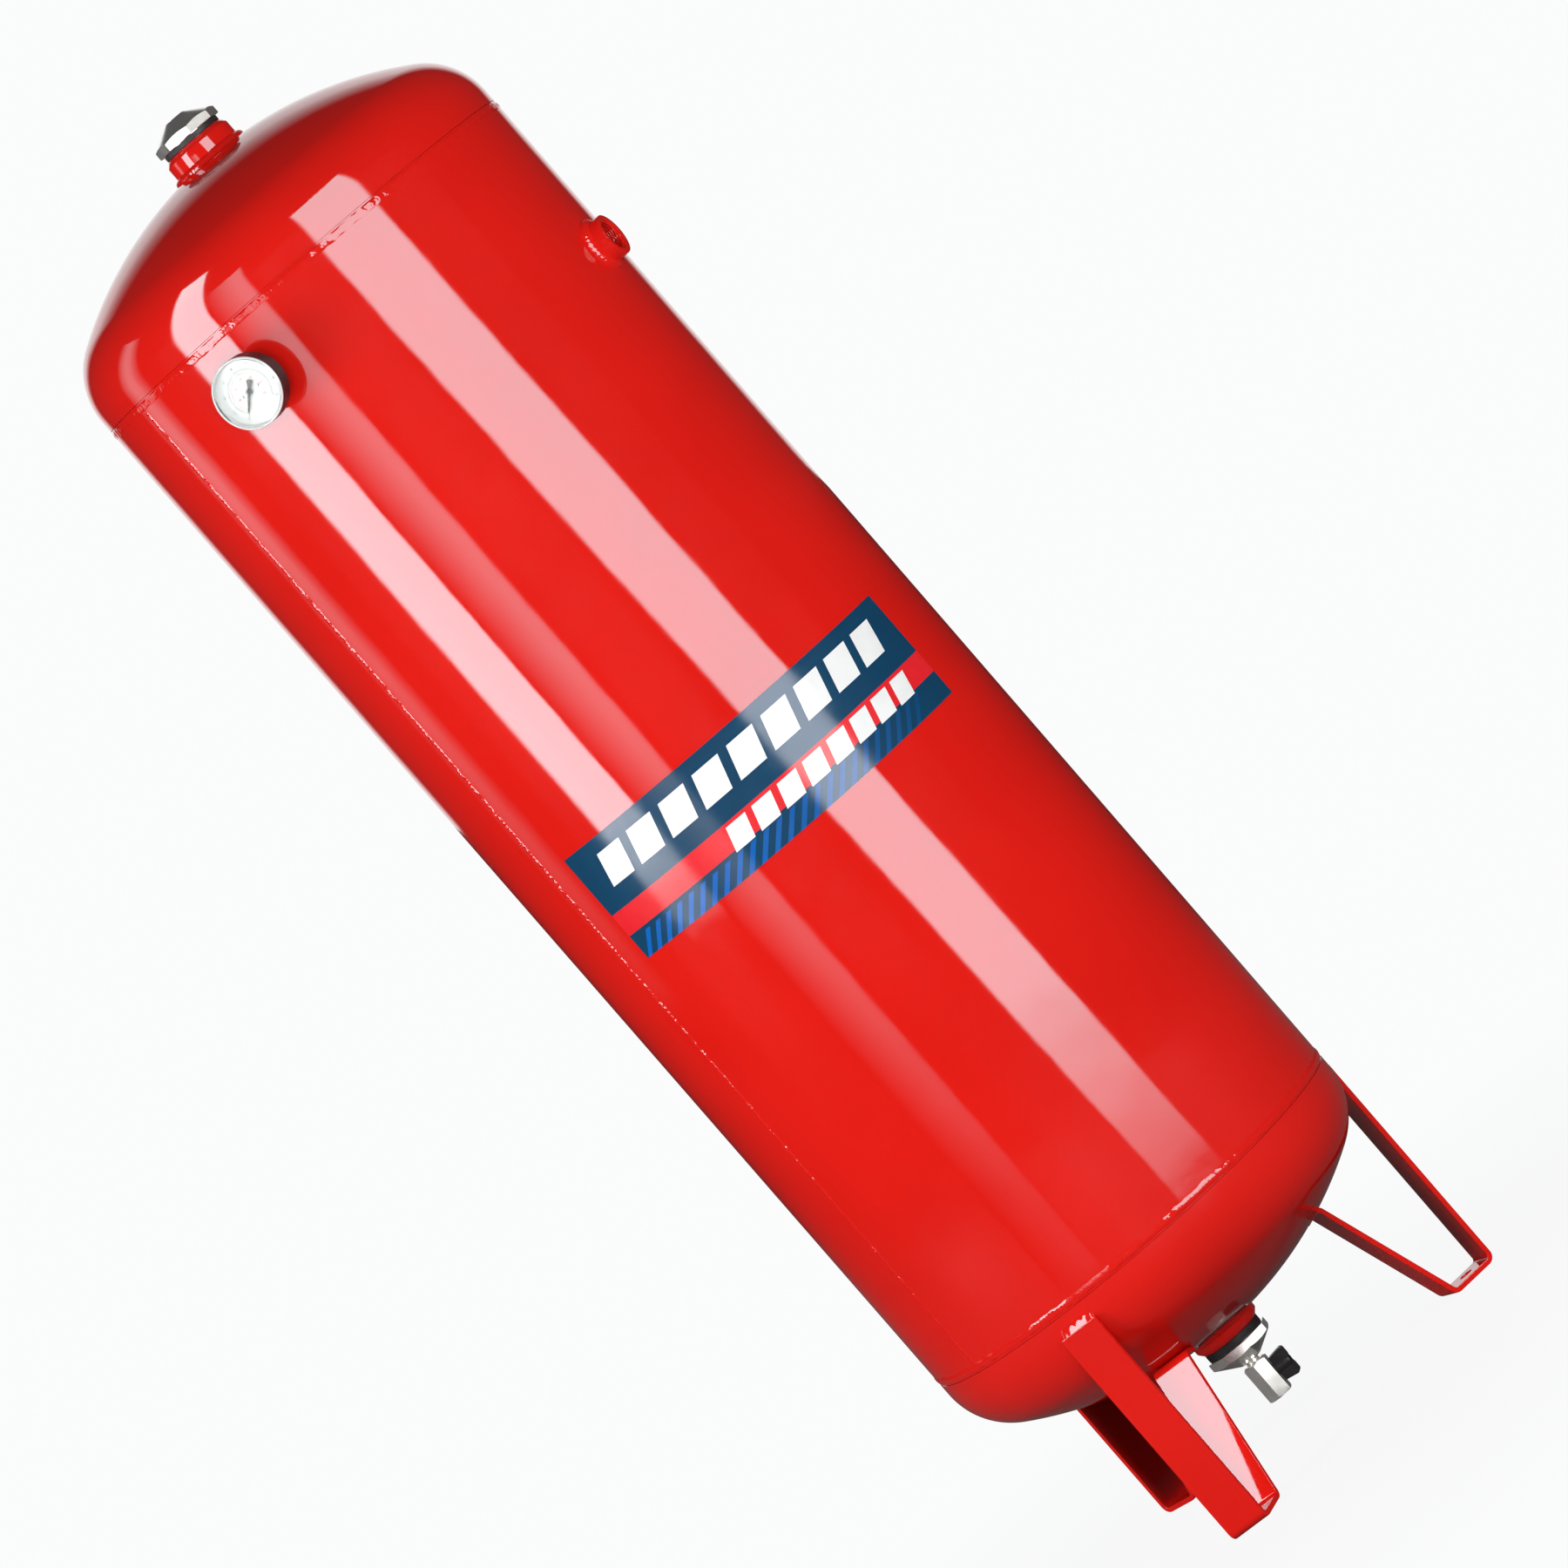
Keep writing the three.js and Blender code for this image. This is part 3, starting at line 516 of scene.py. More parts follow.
@once
def clear_plastic():
    """Clear sheet without refraction, so that light reaches the dial under it."""
    g = Graph("clear_plastic")
    tint = g.ramp(g.noise(40), (0.97, 0.985, 0.98), (0.985, 0.99, 0.988))
    through = g.add("ShaderNodeBsdfTransparent", Color=tint)
    gloss = g.add("ShaderNodeBsdfGlossy", Color=(1, 1, 1, 1), Roughness=g.ramp(g.noise(50), 0.02, 0.05))
    fresnel = g.add("ShaderNodeFresnel", IOR=1.18)
    return g.show(g.mixed(fresnel.outputs[0], through.outputs[0], gloss.outputs[0]))


@once
def frosted_plastic():
    """The milky rim of the window, where the sheet is thick and ground."""
    g = Graph("frosted_plastic")
    g.set(Base_Color=g.ramp(g.noise(60), (0.68, 0.70, 0.70), (0.76, 0.78, 0.78)))
    g.set(Roughness=g.ramp(g.noise(120), 0.18, 0.28), Normal=g.bump(g.noise(300), 0.000006))
    return g.material


SLOT_LOOKS = {
    "red_enamel": enamel,
    "nickel": nickel,
    "black_plastic": black_plastic,
    "black_rubber": black_rubber,
    "ptfe": ptfe,
    "brass": brass,
    "bright_steel": bright_steel,
    "label_vinyl": label_vinyl,
    "dial_white": dial_white,
    "clear_plastic": clear_plastic,
}


# ---------------------------------------------------------------- welds

def ripple(travel, across, pitch, height):
    """Height of a weld's frozen ripples. travel runs along the weld and across from -1 to 1 over it."""
    lag = 0.9 * across * across
    wander = noise.noise(Vector((travel * 60, 3.1, across))) * 0.9
    phase = TAU * (travel / pitch + wander) + lag * TAU
    level = 0.5 + 0.5 * noise.noise(Vector((travel * 35, 7.7, 0)))
    return height * (0.55 * math.sin(phase) + 0.25 * math.sin(2 * phase)) * (0.5 + level)


def bead_rows(length, width, rise, spot, pitch=4 * MM, ripples=0.35 * MM, groove=0.0, across_steps=10):
    """Rows across a weld bead. spot(travel, offset, height) places a point of the bead on the metal.

    groove is the width of the undercut left along the bead's positive side."""
    count = max(8, round(length / pitch * 7))
    rows = []
    for i in range(count):
        travel = length * i / count
        sway = 0.8 * MM * noise.noise(Vector((travel * 90, 0, 1.7)))
        swell = 1 + 0.25 * noise.noise(Vector((travel * 110, 5.0, 0)))
        lift = 1 + 0.9 * noise.noise(Vector((travel * 110, 9.0, 0)))
        row = []
        for k in range(across_steps + 1):
            t = 2 * k / across_steps - 1
            crown = rise * lift * (1 - t * t)
            edge = 1 - t * t
            height = crown + edge * ripple(travel, t, pitch, ripples)
            row.append(spot(travel, t * width / 2 * swell + sway, height))
        if groove:
            row.append(spot(travel, width / 2 + 0.3 * MM, -0.9 * MM))
            row.append(spot(travel, width / 2 + groove, -0.9 * MM))
        row.append(spot(travel, 0, -1.2 * MM))
        rows.append(row)
    return rows


def long_seam():
    margin = 4.8 * MM
    length = HIGH_SEAM - LOW_SEAM - 2 * margin
    place = side_frame(LONG_SEAM_AZIMUTH, LOW_SEAM + margin, TANK_RADIUS)

    def spot(travel, offset, height):
        return place @ Vector((offset, travel, height))

    rows = bead_rows(length, 4.8 * MM, 0.8 * MM, spot, pitch=5 * MM, ripples=0.38 * MM, across_steps=8)
    obj = joined_rows("long_seam_weld_bead", rows, ring=False, capped=True, sharp=42)
    dressed(obj, "red_enamel", "long_seam_weld")


def fillet_weld(node, radius, leg, ground, place):
    """A ring of weld between a round boss and the metal around it. ground(spot) is that metal's height."""
    steps = 8
    pitch = 3.6 * MM
    count = round(TAU * radius / pitch) * 7
    rows = []
    for i in range(count):
        angle = TAU * i / count
        travel = angle * radius
        swell = 1 + 0.10 * noise.noise(Vector((3 * math.cos(angle), 3 * math.sin(angle), leg * 900)))
        row = []
        for k in range(steps + 1):
            t = k / steps
            wave = ripple(travel, 2 * t - 1, pitch, 0.3 * MM)
            hump = 0.7 * (0.22 * leg + wave) * math.sin(math.pi * t)
            reach = leg * swell
            toe = around(angle, radius + reach * (1 - t) + hump, 0)
            row.append(place @ (toe + Vector((0, 0, ground(toe) + reach * t + hump))))
        foot = around(angle, radius, -1 * MM)
        row.append(place @ (foot + Vector((0, 0, ground(foot)))))
        rows.append(row)
    dressed(joined_rows(node + "_bead", rows, sharp=70), "red_enamel", node)


# ---------------------------------------------------------------- pressure vessel

def shell():
    """The rolled plate. Its outer face keeps true round normals, so that long reflections stay straight."""
    segments = 192
    heights = 24
    bottom, top = LOW_SEAM + 1.2 * MM, HIGH_SEAM - 1.2 * MM
    outer = [(TANK_RADIUS, bottom + (top - bottom) * i / heights) for i in range(heights + 1)]
    inner = [(TANK_RADIUS - WALL, top), (TANK_RADIUS - WALL, bottom)]
    obj = turned("shell_plate", outer + inner, segments)
    for node, place in (("side_port_boss", PORT_PLACE), ("gauge_boss", GAUGE_PLACE)):
        hole = local_box(node, place)[1].x
        cut(obj, rod(hole, TANK_RADIUS * 2 / 3, TANK_RADIUS * 4 / 3, 48, place))
    mesh = obj.data
    normals = []
    for face in mesh.polygons:
        out = Vector((face.center.x, face.center.y, 0)).normalized()
        facing = face.normal.dot(out)
        for corner in face.loop_indices:
            point = mesh.vertices[mesh.loops[corner].vertex_index].co
            radial = Vector((point.x, point.y, 0)).normalized()
            if facing > 0.99:
                normals.append(radial)
            elif facing < -0.99:
                normals.append(-radial)
            else:
                normals.append(face.normal.copy())
    mesh.normals_split_custom_set(normals)
    dressed(obj, "red_enamel", "shell")


def head_skin(depth, hole, knuckle_steps, crown_steps):
    """One face of a dished head, as (radius, height above its seam) points from the seam to the hole."""
    end = math.degrees(math.acos(KNUCKLE_CENTRE / (CROWN_RADIUS - KNUCKLE_RADIUS)))
    crown = CROWN_RADIUS - depth
    last = math.degrees(math.acos(hole / crown))
    return (
        [(TANK_RADIUS - depth, 5.4 * MM), (TANK_RADIUS - depth, 6 * MM)]
        + arc(KNUCKLE_CENTRE, FLANGE, KNUCKLE_RADIUS - depth, 0, end, knuckle_steps)
        + arc(0, CROWN_CENTRE, crown, end, last, crown_steps)[1:]
    )


def head(node, seam, direction):
    outline = head_skin(0, BOSS_RADIUS, 24, 28) + head_skin(WALL, BOSS_RADIUS, 10, 10)[::-1]
    points = [(r, seam + direction * z) for r, z in outline]
    dressed(turned(node + "_dish", points, 192, sharp=50), "red_enamel", node)


def threaded(bore, start, end, pitch, depth):
    """Moves bore points between two heights onto a screw thread."""
    def shape(angle, r, z):
        if abs(r - bore) < 1e-6 and start < z < end:
            turn = (z / pitch - angle / TAU) % 1
            return r + depth * (1 - abs(2 * turn - 1)), z
        return r, z
    return shape


def bore_points(bore, start, end, pitch):
    steps = round((end - start) / pitch * 8)
    return [(bore, start + (end - start) * i / steps) for i in range(steps + 1)]


def end_boss(node, place, rise, weld_leg):
    """The round boss in a head. z = 0 is the head's apex and +z points out of the tank."""
    low = -WALL - 5 * MM
    bore = BOSS_RADIUS - 5.5 * MM
    outline = bore_points(bore, low, rise - 1 * MM, 2.3 * MM) + [
        (bore + 1.2 * MM, rise),
        (BOSS_RADIUS - 4.6 * MM, rise),
        (BOSS_RADIUS - 4 * MM, rise - 0.3 * MM),
        (BOSS_RADIUS - 0.4 * MM, rise - 4.6 * MM),
        (BOSS_RADIUS, rise - 5.4 * MM),
        (BOSS_RADIUS, low),
    ]
    thread = threaded(bore, low + 1 * MM, rise - 2 * MM, 2.3 * MM, -1.2 * MM)
    dressed(turned(node + "_ring", outline, 96, place, thread), "red_enamel", node)

    def ground(spot):
        return math.sqrt(CROWN_RADIUS ** 2 - spot.x ** 2 - spot.y ** 2) - CROWN_RADIUS

    fillet_weld(node + "_weld", BOSS_RADIUS, weld_leg, ground, place)


def side_boss(node, place, weld_leg, pitch, depth):
    """A boss through the tank's side, with a threaded bore."""
    high = local_box(node, place)[1]
    radius, top = high.x, high.z
    bore = {"side_port_boss": 15.5 * MM, "gauge_boss": 6.9 * MM}[node]
    low = TANK_RADIUS - WALL - 5 * MM
    outline = bore_points(bore, low, top - 1.2 * MM, pitch) + [
        (bore + 1.2 * MM, top),
        (radius - 0.8 * MM, top),
        (radius - 0.25 * MM, top - 0.25 * MM),
        (radius, top - 0.8 * MM),
        (radius, low),
    ]
    thread = threaded(bore, low + 0.5 * MM, top - 1.8 * MM, pitch, depth)
    dressed(turned(node + "_ring", outline, 72, place, thread), "red_enamel", node)

    def ground(spot):
        return math.sqrt(TANK_RADIUS ** 2 - spot.x ** 2)

    fillet_weld(node + "_weld", radius, weld_leg, ground, place)


# ---------------------------------------------------------------- reducing bushes

def reducing_bush(node, place):
    """An eight-sided bush with a cone above its flats. z = 0 is the underside of its flats."""
    low, high = local_box(node, place)
    corner, corner_height = 33.5 * MM, 7 * MM
    flat = corner * math.cos(math.pi / 8)
    neck, bore, shank, groove = 10.9 * MM, 7.5 * MM, 28.2 * MM, 26.1 * MM
    height = high.z
    brim = corner + 1 * MM
    slope = (height - corner_height) / (brim - neck)
    soft = 0.35 * MM
    cone_steps = 7

    def outline_at(angle):
        off = (angle + math.pi / 8) % (math.pi / 4) - math.pi / 8
        side = flat / math.cos(abs(off) - math.pi / 8)
        edge = corner_height + (brim - side) * slope
        shoulder = side - soft * 0.8
        outline = [
            (shank - 6 * MM, low.z),
            (shank, low.z),
            (shank, low.z + 14 * MM),
            (groove, low.z + 14.5 * MM),
            (groove, 0),
            (side - soft, 0),
            (side, soft),
            (side, edge - soft),
            (shoulder, edge + 0.2 * soft),
        ]
        for k in range(1, cone_steps + 1):
            r = shoulder + (neck + soft - shoulder) * k / cone_steps
            outline.append((r, edge + (side - r) * slope))
        outline += [(neck, height - soft), (neck - 0.5 * soft, height), (bore + 1 * MM, height)]
        return outline + [(bore, height - 1 * MM), (bore, -3 * MM), (shank - 6 * MM, -2 * MM)]

    dressed(swept(node + "_bush", outline_at, 160, place, 14), "nickel", node)


def seal_ring(node, place):
    low, high = local_box(node, place)
    outline = softened(rectangle(high.x * 0.885, high.x, low.z, high.z), 0.9 * MM, 5)
    dressed(turned(node + "_washer", outline, 96, place), "black_rubber", node)


# ---------------------------------------------------------------- legs

STRAP = 5 * MM
STRAP_WIDTH = 40 * MM
BOLT_HOLE = 13 * MM


def strap_outline(path, bend, steps=10):
    """Both faces of a strap that follows a path of (radius, height) corners, each bent to a radius."""
    left, right = [], []

    def place(centre, normal):
        left.append(tuple(centre + normal * STRAP / 2))
        right.append(tuple(centre - normal * STRAP / 2))

    def normal_of(direction):
        return Vector((-direction.y, direction.x))

    corners = [Vector(p) for p in path]
    for i, corner in enumerate(corners):
        if i in (0, len(corners) - 1):
            a, b = (corners[0], corners[1]) if i == 0 else (corners[-2], corners[-1])
            place(corner, normal_of((b - a).normalized()))
            continue
        before = (corner - corners[i - 1]).normalized()
        after = (corners[i + 1] - corner).normalized()
        turn = math.atan2(before.x * after.y - before.y * after.x, before.dot(after))
        start = corner - before * bend * math.tan(abs(turn) / 2)
        side = math.copysign(1, turn)
        centre = start + normal_of(before) * side * bend
        for k in range(steps + 1):
            spin = Matrix.Rotation(turn * k / steps, 2)
            normal = spin @ normal_of(before)
            place(centre - normal * side * bend, normal)
    return left + right[::-1]


def lower_head_face(radius):
    return LOW_SEAM - CROWN_CENTRE - math.sqrt(CROWN_RADIUS ** 2 - radius ** 2)


BRACE_TOP = 131 * MM
TAB_END = BRACE_TOP - 15 * MM
FOOT_INNER = 179 * MM


def leg(node):
    """A strap bent into an outer strand, a foot and an inner brace with a tab under the lower head."""
    azimuth = azimuth_of(node + "_outer_weld")
    place = standing_frame(azimuth)
    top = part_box(node)[1].z
    outer = TANK_RADIUS + 0.3 * MM + STRAP / 2
    offset = STRAP / 2 + 0.6 * MM
    path = [
        (outer, top),
        (outer, STRAP / 2),
        (FOOT_INNER + STRAP / 2, STRAP / 2),
        (BRACE_TOP + 2 * MM, lower_head_face(BRACE_TOP) - offset),
        (TAB_END, lower_head_face(TAB_END) - offset),
    ]
    outline = strap_outline(path, 6 * MM)
    rows = [[place @ Vector((r, y, z)) for r, z in outline] for y in (-STRAP_WIDTH / 2, STRAP_WIDTH / 2)]
    strap = joined_rows(node + "_strap", rows, ring=False, capped=True)
    foot_middle = place @ Matrix.Translation(((FOOT_INNER + TANK_RADIUS + STRAP) / 2, 0, 0))
    cut(strap, rod(BOLT_HOLE / 2, -2 * MM, STRAP + 2 * MM, 40, foot_middle))
    bevelled(strap, 0.7 * MM)
    dressed(strap, "red_enamel", node)
    outer_leg_weld(node, place, top)
    inner_leg_weld(node, place)


def lumpy_bead(node, spot, length):
    """A short hand-laid bead. spot(along, over, size) places a point of its surface.

    over runs from 0 at one toe to 1 at the other, and is -1 for a point inside the metal."""
    count = round(length / MM * 1.6)
    rows = []
    for i in range(count + 1):
        s = length * (i / count - 0.5)
        end = math.sqrt(max(0.0, 1 - (2 * i / count - 1) ** 8))
        lumps = 1 + 0.06 * noise.noise(Vector((s * 90, 2.2, 0))) + 0.012 * math.sin(TAU * s / (8.5 * MM))
        size = max(0.05, end * lumps)
        row = [spot(s, k / 8, size) for k in range(9)]
        row.append(spot(s, -1, size))
        rows.append(row)
    obj = joined_rows(node + "_bead", rows, ring=False, capped=True, sharp=70)
    dressed(obj, "red_enamel", node)


def outer_leg_weld(node, place, top):
    """The bead between the strand's upper end and the tank's side."""
    def spot(along, over, size):
        wall = math.sqrt(TANK_RADIUS ** 2 - along ** 2)
        if over < 0:
            return place @ Vector((wall - 0.5 * MM, along, top - 0.5 * MM))
        out = 5.4 * MM * size * (1 - over) ** 0.75
        up = 7.6 * MM * size * over
        return place @ Vector((wall + max(0.1 * MM, out), along, top + up))

    lumpy_bead(node + "_outer_weld", spot, STRAP_WIDTH - 2 * MM)


def inner_leg_weld(node, place):
    """The bead between the tab's end and the lower head."""
    def spot(along, over, size):
        start = TAB_END - 1.6 * MM
        if over < 0:
            return place @ Vector((start, along, lower_head_face(start) + 0.5 * MM))
        angle = over * math.pi / 2
        inward = 5.0 * MM * size * math.cos(angle)
        down = 4.6 * MM * size * math.sin(angle)
        r = start - inward
        return place @ Vector((r, along, lower_head_face(math.hypot(r, along)) - max(0.1 * MM, down)))

    lumpy_bead(node + "_inner_weld", spot, STRAP_WIDTH - 4 * MM)


# ---------------------------------------------------------------- label

LABEL_LOW, LABEL_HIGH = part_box("label")[0].z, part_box("label")[1].z
LABEL_HEIGHT = LABEL_HIGH - LABEL_LOW
LABEL_FRONT = TANK_RADIUS + 0.7 * MM


def label_ends():
    azimuths = [math.degrees(math.atan2(p.x, -p.y)) for p in node_points("label")]
    return min(azimuths), max(azimuths)


LABEL_FROM, LABEL_TO = label_ends()
LABEL_LENGTH = math.radians(LABEL_TO - LABEL_FROM) * TANK_RADIUS


def wrapped(along, up, radius):
    """A place on the label. along runs from 0 at its left end to 1 at its right, up from 0 to 1."""
    a = math.radians(LABEL_FROM + (LABEL_TO - LABEL_FROM) * along)
    return Vector((radius * math.sin(a), -radius * math.cos(a), LABEL_LOW + LABEL_HEIGHT * up))


def patch(name, corners, level):
    """A thin printed shape with corners lower left, lower right, upper right and upper left."""
    low_left, low_right, up_right, up_left = [Vector(c) for c in corners]
    length = (max(low_right.x, up_right.x) - min(low_left.x, up_left.x)) * LABEL_LENGTH
    steps = max(3, round(length / (3 * MM)))
    climbs = 8
    half = 0.06 * MM
    outer = LABEL_FRONT + level + half
    inner = LABEL_FRONT + level - half
    rows = []
    for i in range(steps + 1):
        bottom = low_left.lerp(low_right, i / steps)
        top = up_left.lerp(up_right, i / steps)
        line = [bottom.lerp(top, k / climbs) for k in range(climbs + 1)]
        rows.append([wrapped(*p, outer) for p in line] + [wrapped(*p, inner) for p in line[::-1]])
    return joined_rows(name, rows, ring=False, capped=True)


def slanted(name, left, right, bottom, top, level, lean=0.30):
    """A parallelogram that leans to the right like italic print."""
    shift = lean * (top - bottom) * LABEL_HEIGHT / LABEL_LENGTH
    corners = [(left, bottom), (right, bottom), (right + shift, top), (left + shift, top)]
    return patch(name, corners, level)


def label():
    """The vinyl sheet and its print: a red band, blue slanted stripes and two rows of plain white bars."""
    steps = 96
    section = rectangle(TANK_RADIUS + 0.3 * MM, LABEL_FRONT, 0, 1)
    section = softened([section[1], section[2], section[3], section[0]], 0.1 * MM, 1)
    rows = [[wrapped(i / steps, up, radius) for radius, up in section] for i in range(steps + 1)]
    dressed(joined_rows("label_sheet", rows, ring=False, capped=True), "label_vinyl", "label")
    finished(patch("label_red_band", rectangle(0, 1, 0.222, 0.43), 0.02 * MM), red_ink())
    lefts = [0.004 + i * 0.0365 for i in range(24)]
    stripes = [slanted("stripe", x, x + 0.0155, 0.0, 0.19, 0.02 * MM, lean=0.95) for x in lefts]
    finished(merged("label_blue_stripes", *stripes), fading_blue_ink())
    finished(merged("label_white_bars", *white_bars()), white_ink())


def bar_row(count, start, end, bottom, top):
    """Slanted bars of one width from start to end, with gaps a third as wide as the bars."""
    pitch = (end - start) / (count - 0.25)
    lefts = [start + i * pitch for i in range(count)]
    return [slanted("bar", left, left + 0.75 * pitch, bottom, top, 0.08 * MM) for left in lefts]


def white_bars():
    """Two rows of plain bars. They carry no lettering."""
    return bar_row(9, 0.065, 0.915, 0.60, 0.88) + bar_row(8, 0.345, 0.900, 0.20, 0.40)


# ---------------------------------------------------------------- drain valve

SIDEWAYS = Matrix.Rotation(math.pi / 2, 4, "Y")
VALVE_PLACE = standing_frame(azimuth_of("drain_valve_handle_screw"), joint("drain_valve_turn")["pos_m"][2])


def hex_radius(angle, across_flats):
    """How far a hexagon reaches at an angle. Its flats stand at 0, 60, 120 degrees and so on."""
    off = (angle + math.pi / 6) % (math.pi / 3) - math.pi / 6
    return across_flats / 2 / math.cos(off)


def outer_thread(angle, radius, depth, pitch, start, length, count):
    """Points up the outside of a screw thread, at one angle round it."""
    points = []
    for k in range(count):
        z = start + length * k / (count - 1)
        phase = (z / pitch - angle / TAU) % 1
        points.append((radius - depth * abs(2 * phase - 1), z))
    return points


def valve_body():
    """A six-sided bar with turned ends and a threaded spigot above. +X carries the handle."""
    low, high = local_box("drain_valve_body", VALVE_PLACE)
    flats = high.x * 2
    corner = flats / 2 / math.cos(math.pi / 6)
    top = 18.5 * MM
    cavity, bore, thread = 8.2 * MM, 4.3 * MM, 7.2 * MM

    def outline_at(angle):
        side = hex_radius(angle, flats)
        lower = 1.2 * MM * (side - corner + 1.5 * MM) / (1.5 * MM)
        upper = 2.2 * MM * (side - corner + 3 * MM) / (3 * MM)
        outline = [(cavity, low.z), (min(side, corner - 1.5 * MM), low.z)]
        outline += [(side, low.z + max(0.15 * MM, lower)), (side, top - max(0.2 * MM, upper))]
        outline += [(min(side, corner - 3 * MM), top), (thread, top)]
        outline += outer_thread(angle, thread, 0.7 * MM, 1.3 * MM, top + 0.5 * MM, 13 * MM, 64)
        return outline + [(bore, high.z), (bore, 8 * MM), (cavity, 8 * MM)]

    body = swept("drain_valve_body_bar", outline_at, 144, VALVE_PLACE, 16)
    cut(body, rod(3.4 * MM, 2 * MM, 13 * MM, 32, VALVE_PLACE @ SIDEWAYS), sharp=16)
    dressed(body, "nickel", "drain_valve_body")


def valve_insert():
    """The threaded ring that holds the lower seat, with the outlet's thread inside."""
    low, high = local_box("drain_valve_insert", VALVE_PLACE)
    outer, bore, outlet = high.x, 4.3 * MM, 5.8 * MM
    shelf = low.z + 9 * MM
    outline = [
        (outlet + 0.5 * MM, low.z), (outer - 0.2 * MM, low.z), (outer, low.z + 0.2 * MM),
        (outer, high.z), (bore, high.z), (bore, shelf),
    ]
    outline += bore_points(outlet, shelf, low.z + 0.5 * MM, 1 * MM)
    thread = threaded(outlet, low.z + 0.8 * MM, shelf - 1 * MM, 1 * MM, -0.5 * MM)
    obj = turned("drain_valve_insert_ring", outline, 72, VALVE_PLACE, thread, sharp=30)
    dressed(obj, "nickel", "drain_valve_insert")


def valve_handle():
    """A flat T-shaped grip with rounded wings, finger grooves and a round hub."""
    node = "drain_valve_handle"
    low, high = local_box(node, VALVE_PLACE)
    inner, tip, length, corner = low.x + 1.4 * MM, high.x, high.z, 3 * MM
    outline = [(inner, 2 * MM - length)]
    outline += arc(tip - corner, corner - length, corner, -90, 0, 8)
    outline += [(tip, -length * 0.35), (tip - 1.0 * MM, -length * 0.12)]
    outline += [(tip - 1.0 * MM, length * 0.12), (tip, length * 0.35)]
    outline += arc(tip - corner, length - corner, corner, 0, 90, 8)
    outline += [(inner, length - 2 * MM)]
    thick = 4.8 * MM
    upright = VALVE_PLACE @ Matrix.Rotation(math.pi / 2, 4, "X")
    grip = raised(node + "_grip", outline, -thick, thick, upright)
    bore, hub_radius = 2.7 * MM, 6.3 * MM
    hub = [
        (bore, low.x), (hub_radius - 0.3 * MM, low.x), (hub_radius, low.x + 0.3 * MM),
        (hub_radius, tip - 1.6 * MM), (hub_radius - 0.7 * MM, tip - 0.6 * MM), (bore, tip - 0.6 * MM),
    ]
    spin = VALVE_PLACE @ SIDEWAYS
    combined(grip, turned("hub", hub, 48, spin), "UNION")
    floor_of_well = 20.3 * MM
    well = rod(3.6 * MM, floor_of_well, 40 * MM, 40, spin)
    cut(grip, well, rod(bore, 5 * MM, floor_of_well + 0.7 * MM, 40, spin))
    bevelled(grip, 0.5 * MM)
    dressed(grip, "black_plastic", node, body="drain_handle_group")


def valve_screw():
    node = "drain_valve_handle_screw"
    low, high = local_box(node, VALVE_PLACE)
    spin = VALVE_PLACE @ SIDEWAYS
    head, top = high.z, high.x
    outline = [
        (0, low.x), (1.1 * MM, low.x), (1.1 * MM, top - 2 * MM), (head, top - 2 * MM),
        (head, top - 0.8 * MM), (head * 0.85, top - 0.3 * MM), (head * 0.5, top), (0, top),
    ]
    screw = turned(node + "_head", outline, 40, spin)
    slot = rectangle(-2 * MM, 2 * MM, -0.35 * MM, 0.35 * MM)
    for quarter in (0, 1):
        place = spin @ Matrix.Rotation(quarter * math.pi / 2, 4, "Z")
        combined(screw, raised("drive", slot, top - 1 * MM, top + 1 * MM, place), "DIFFERENCE")
    tidied(screw)
    bevelled(screw, 0.12 * MM, 2)
    dressed(screw, "bright_steel", node, body="drain_handle_group")


# ---------------------------------------------------------------- pressure gauge

CASE_RADIUS = local_box("gauge_case", GAUGE_PLACE)[1].x
CASE_BACK = local_box("gauge_case", GAUGE_PLACE)[0].z
CASE_FRONT = local_box("gauge_case", GAUGE_PLACE)[1].z
DIAL_FACE = local_box("gauge_dial", GAUGE_PLACE)[1].z
DIAL_RADIUS = local_box("gauge_dial", GAUGE_PLACE)[1].x
DIAL_START = 225
DIAL_SWEEP = 270
PRINT_LOW, PRINT_HIGH = 0.005 * MM, 0.06 * MM


def gauge_ring(name, outline, rounding, steps):
    return turned(name, softened(outline, rounding, steps), 128, GAUGE_PLACE)


def gauge_case():
    r, back, front = CASE_RADIUS, CASE_BACK, CASE_FRONT
    hole, wall = 6.6 * MM, 1.5 * MM
    outline = [
        (hole, back), (r - 6 * MM, back), (r - 2.2 * MM, back + 0.5 * MM), (r - 0.8 * MM, back + 1.4 * MM),
        (r - 0.3 * MM, back + 3 * MM), (r - 0.3 * MM, front - 5 * MM), (r, front - 4.4 * MM), (r, front),
        (r - wall, front), (r - wall, back + 2 * MM), (hole, back + 2 * MM),
    ]
    dressed(gauge_ring("gauge_case_cup", outline, 0.5 * MM, 3), "black_plastic", "gauge_case")


def gauge_window():
    """A clear domed window with a stepped rim, let into the case's mouth."""
    low, high = local_box("gauge_window", GAUGE_PLACE)
    r, rim = high.x, high.z
    lip = r - 1.8 * MM
    sill = CASE_FRONT + 0.3 * MM
    outline = [
        (0, sill), (lip - 1 * MM, sill), (lip - 1 * MM, low.z), (lip, low.z),
        (lip, sill), (r, sill), (r, rim - 0.9 * MM), (r - 0.9 * MM, rim),
        (r - 2.4 * MM, rim), (r - 3.0 * MM, rim - 0.5 * MM), (0, rim - 0.2 * MM),
    ]
    dressed(gauge_ring("gauge_window_cap", outline, 0.25 * MM, 2), "clear_plastic", "gauge_window")


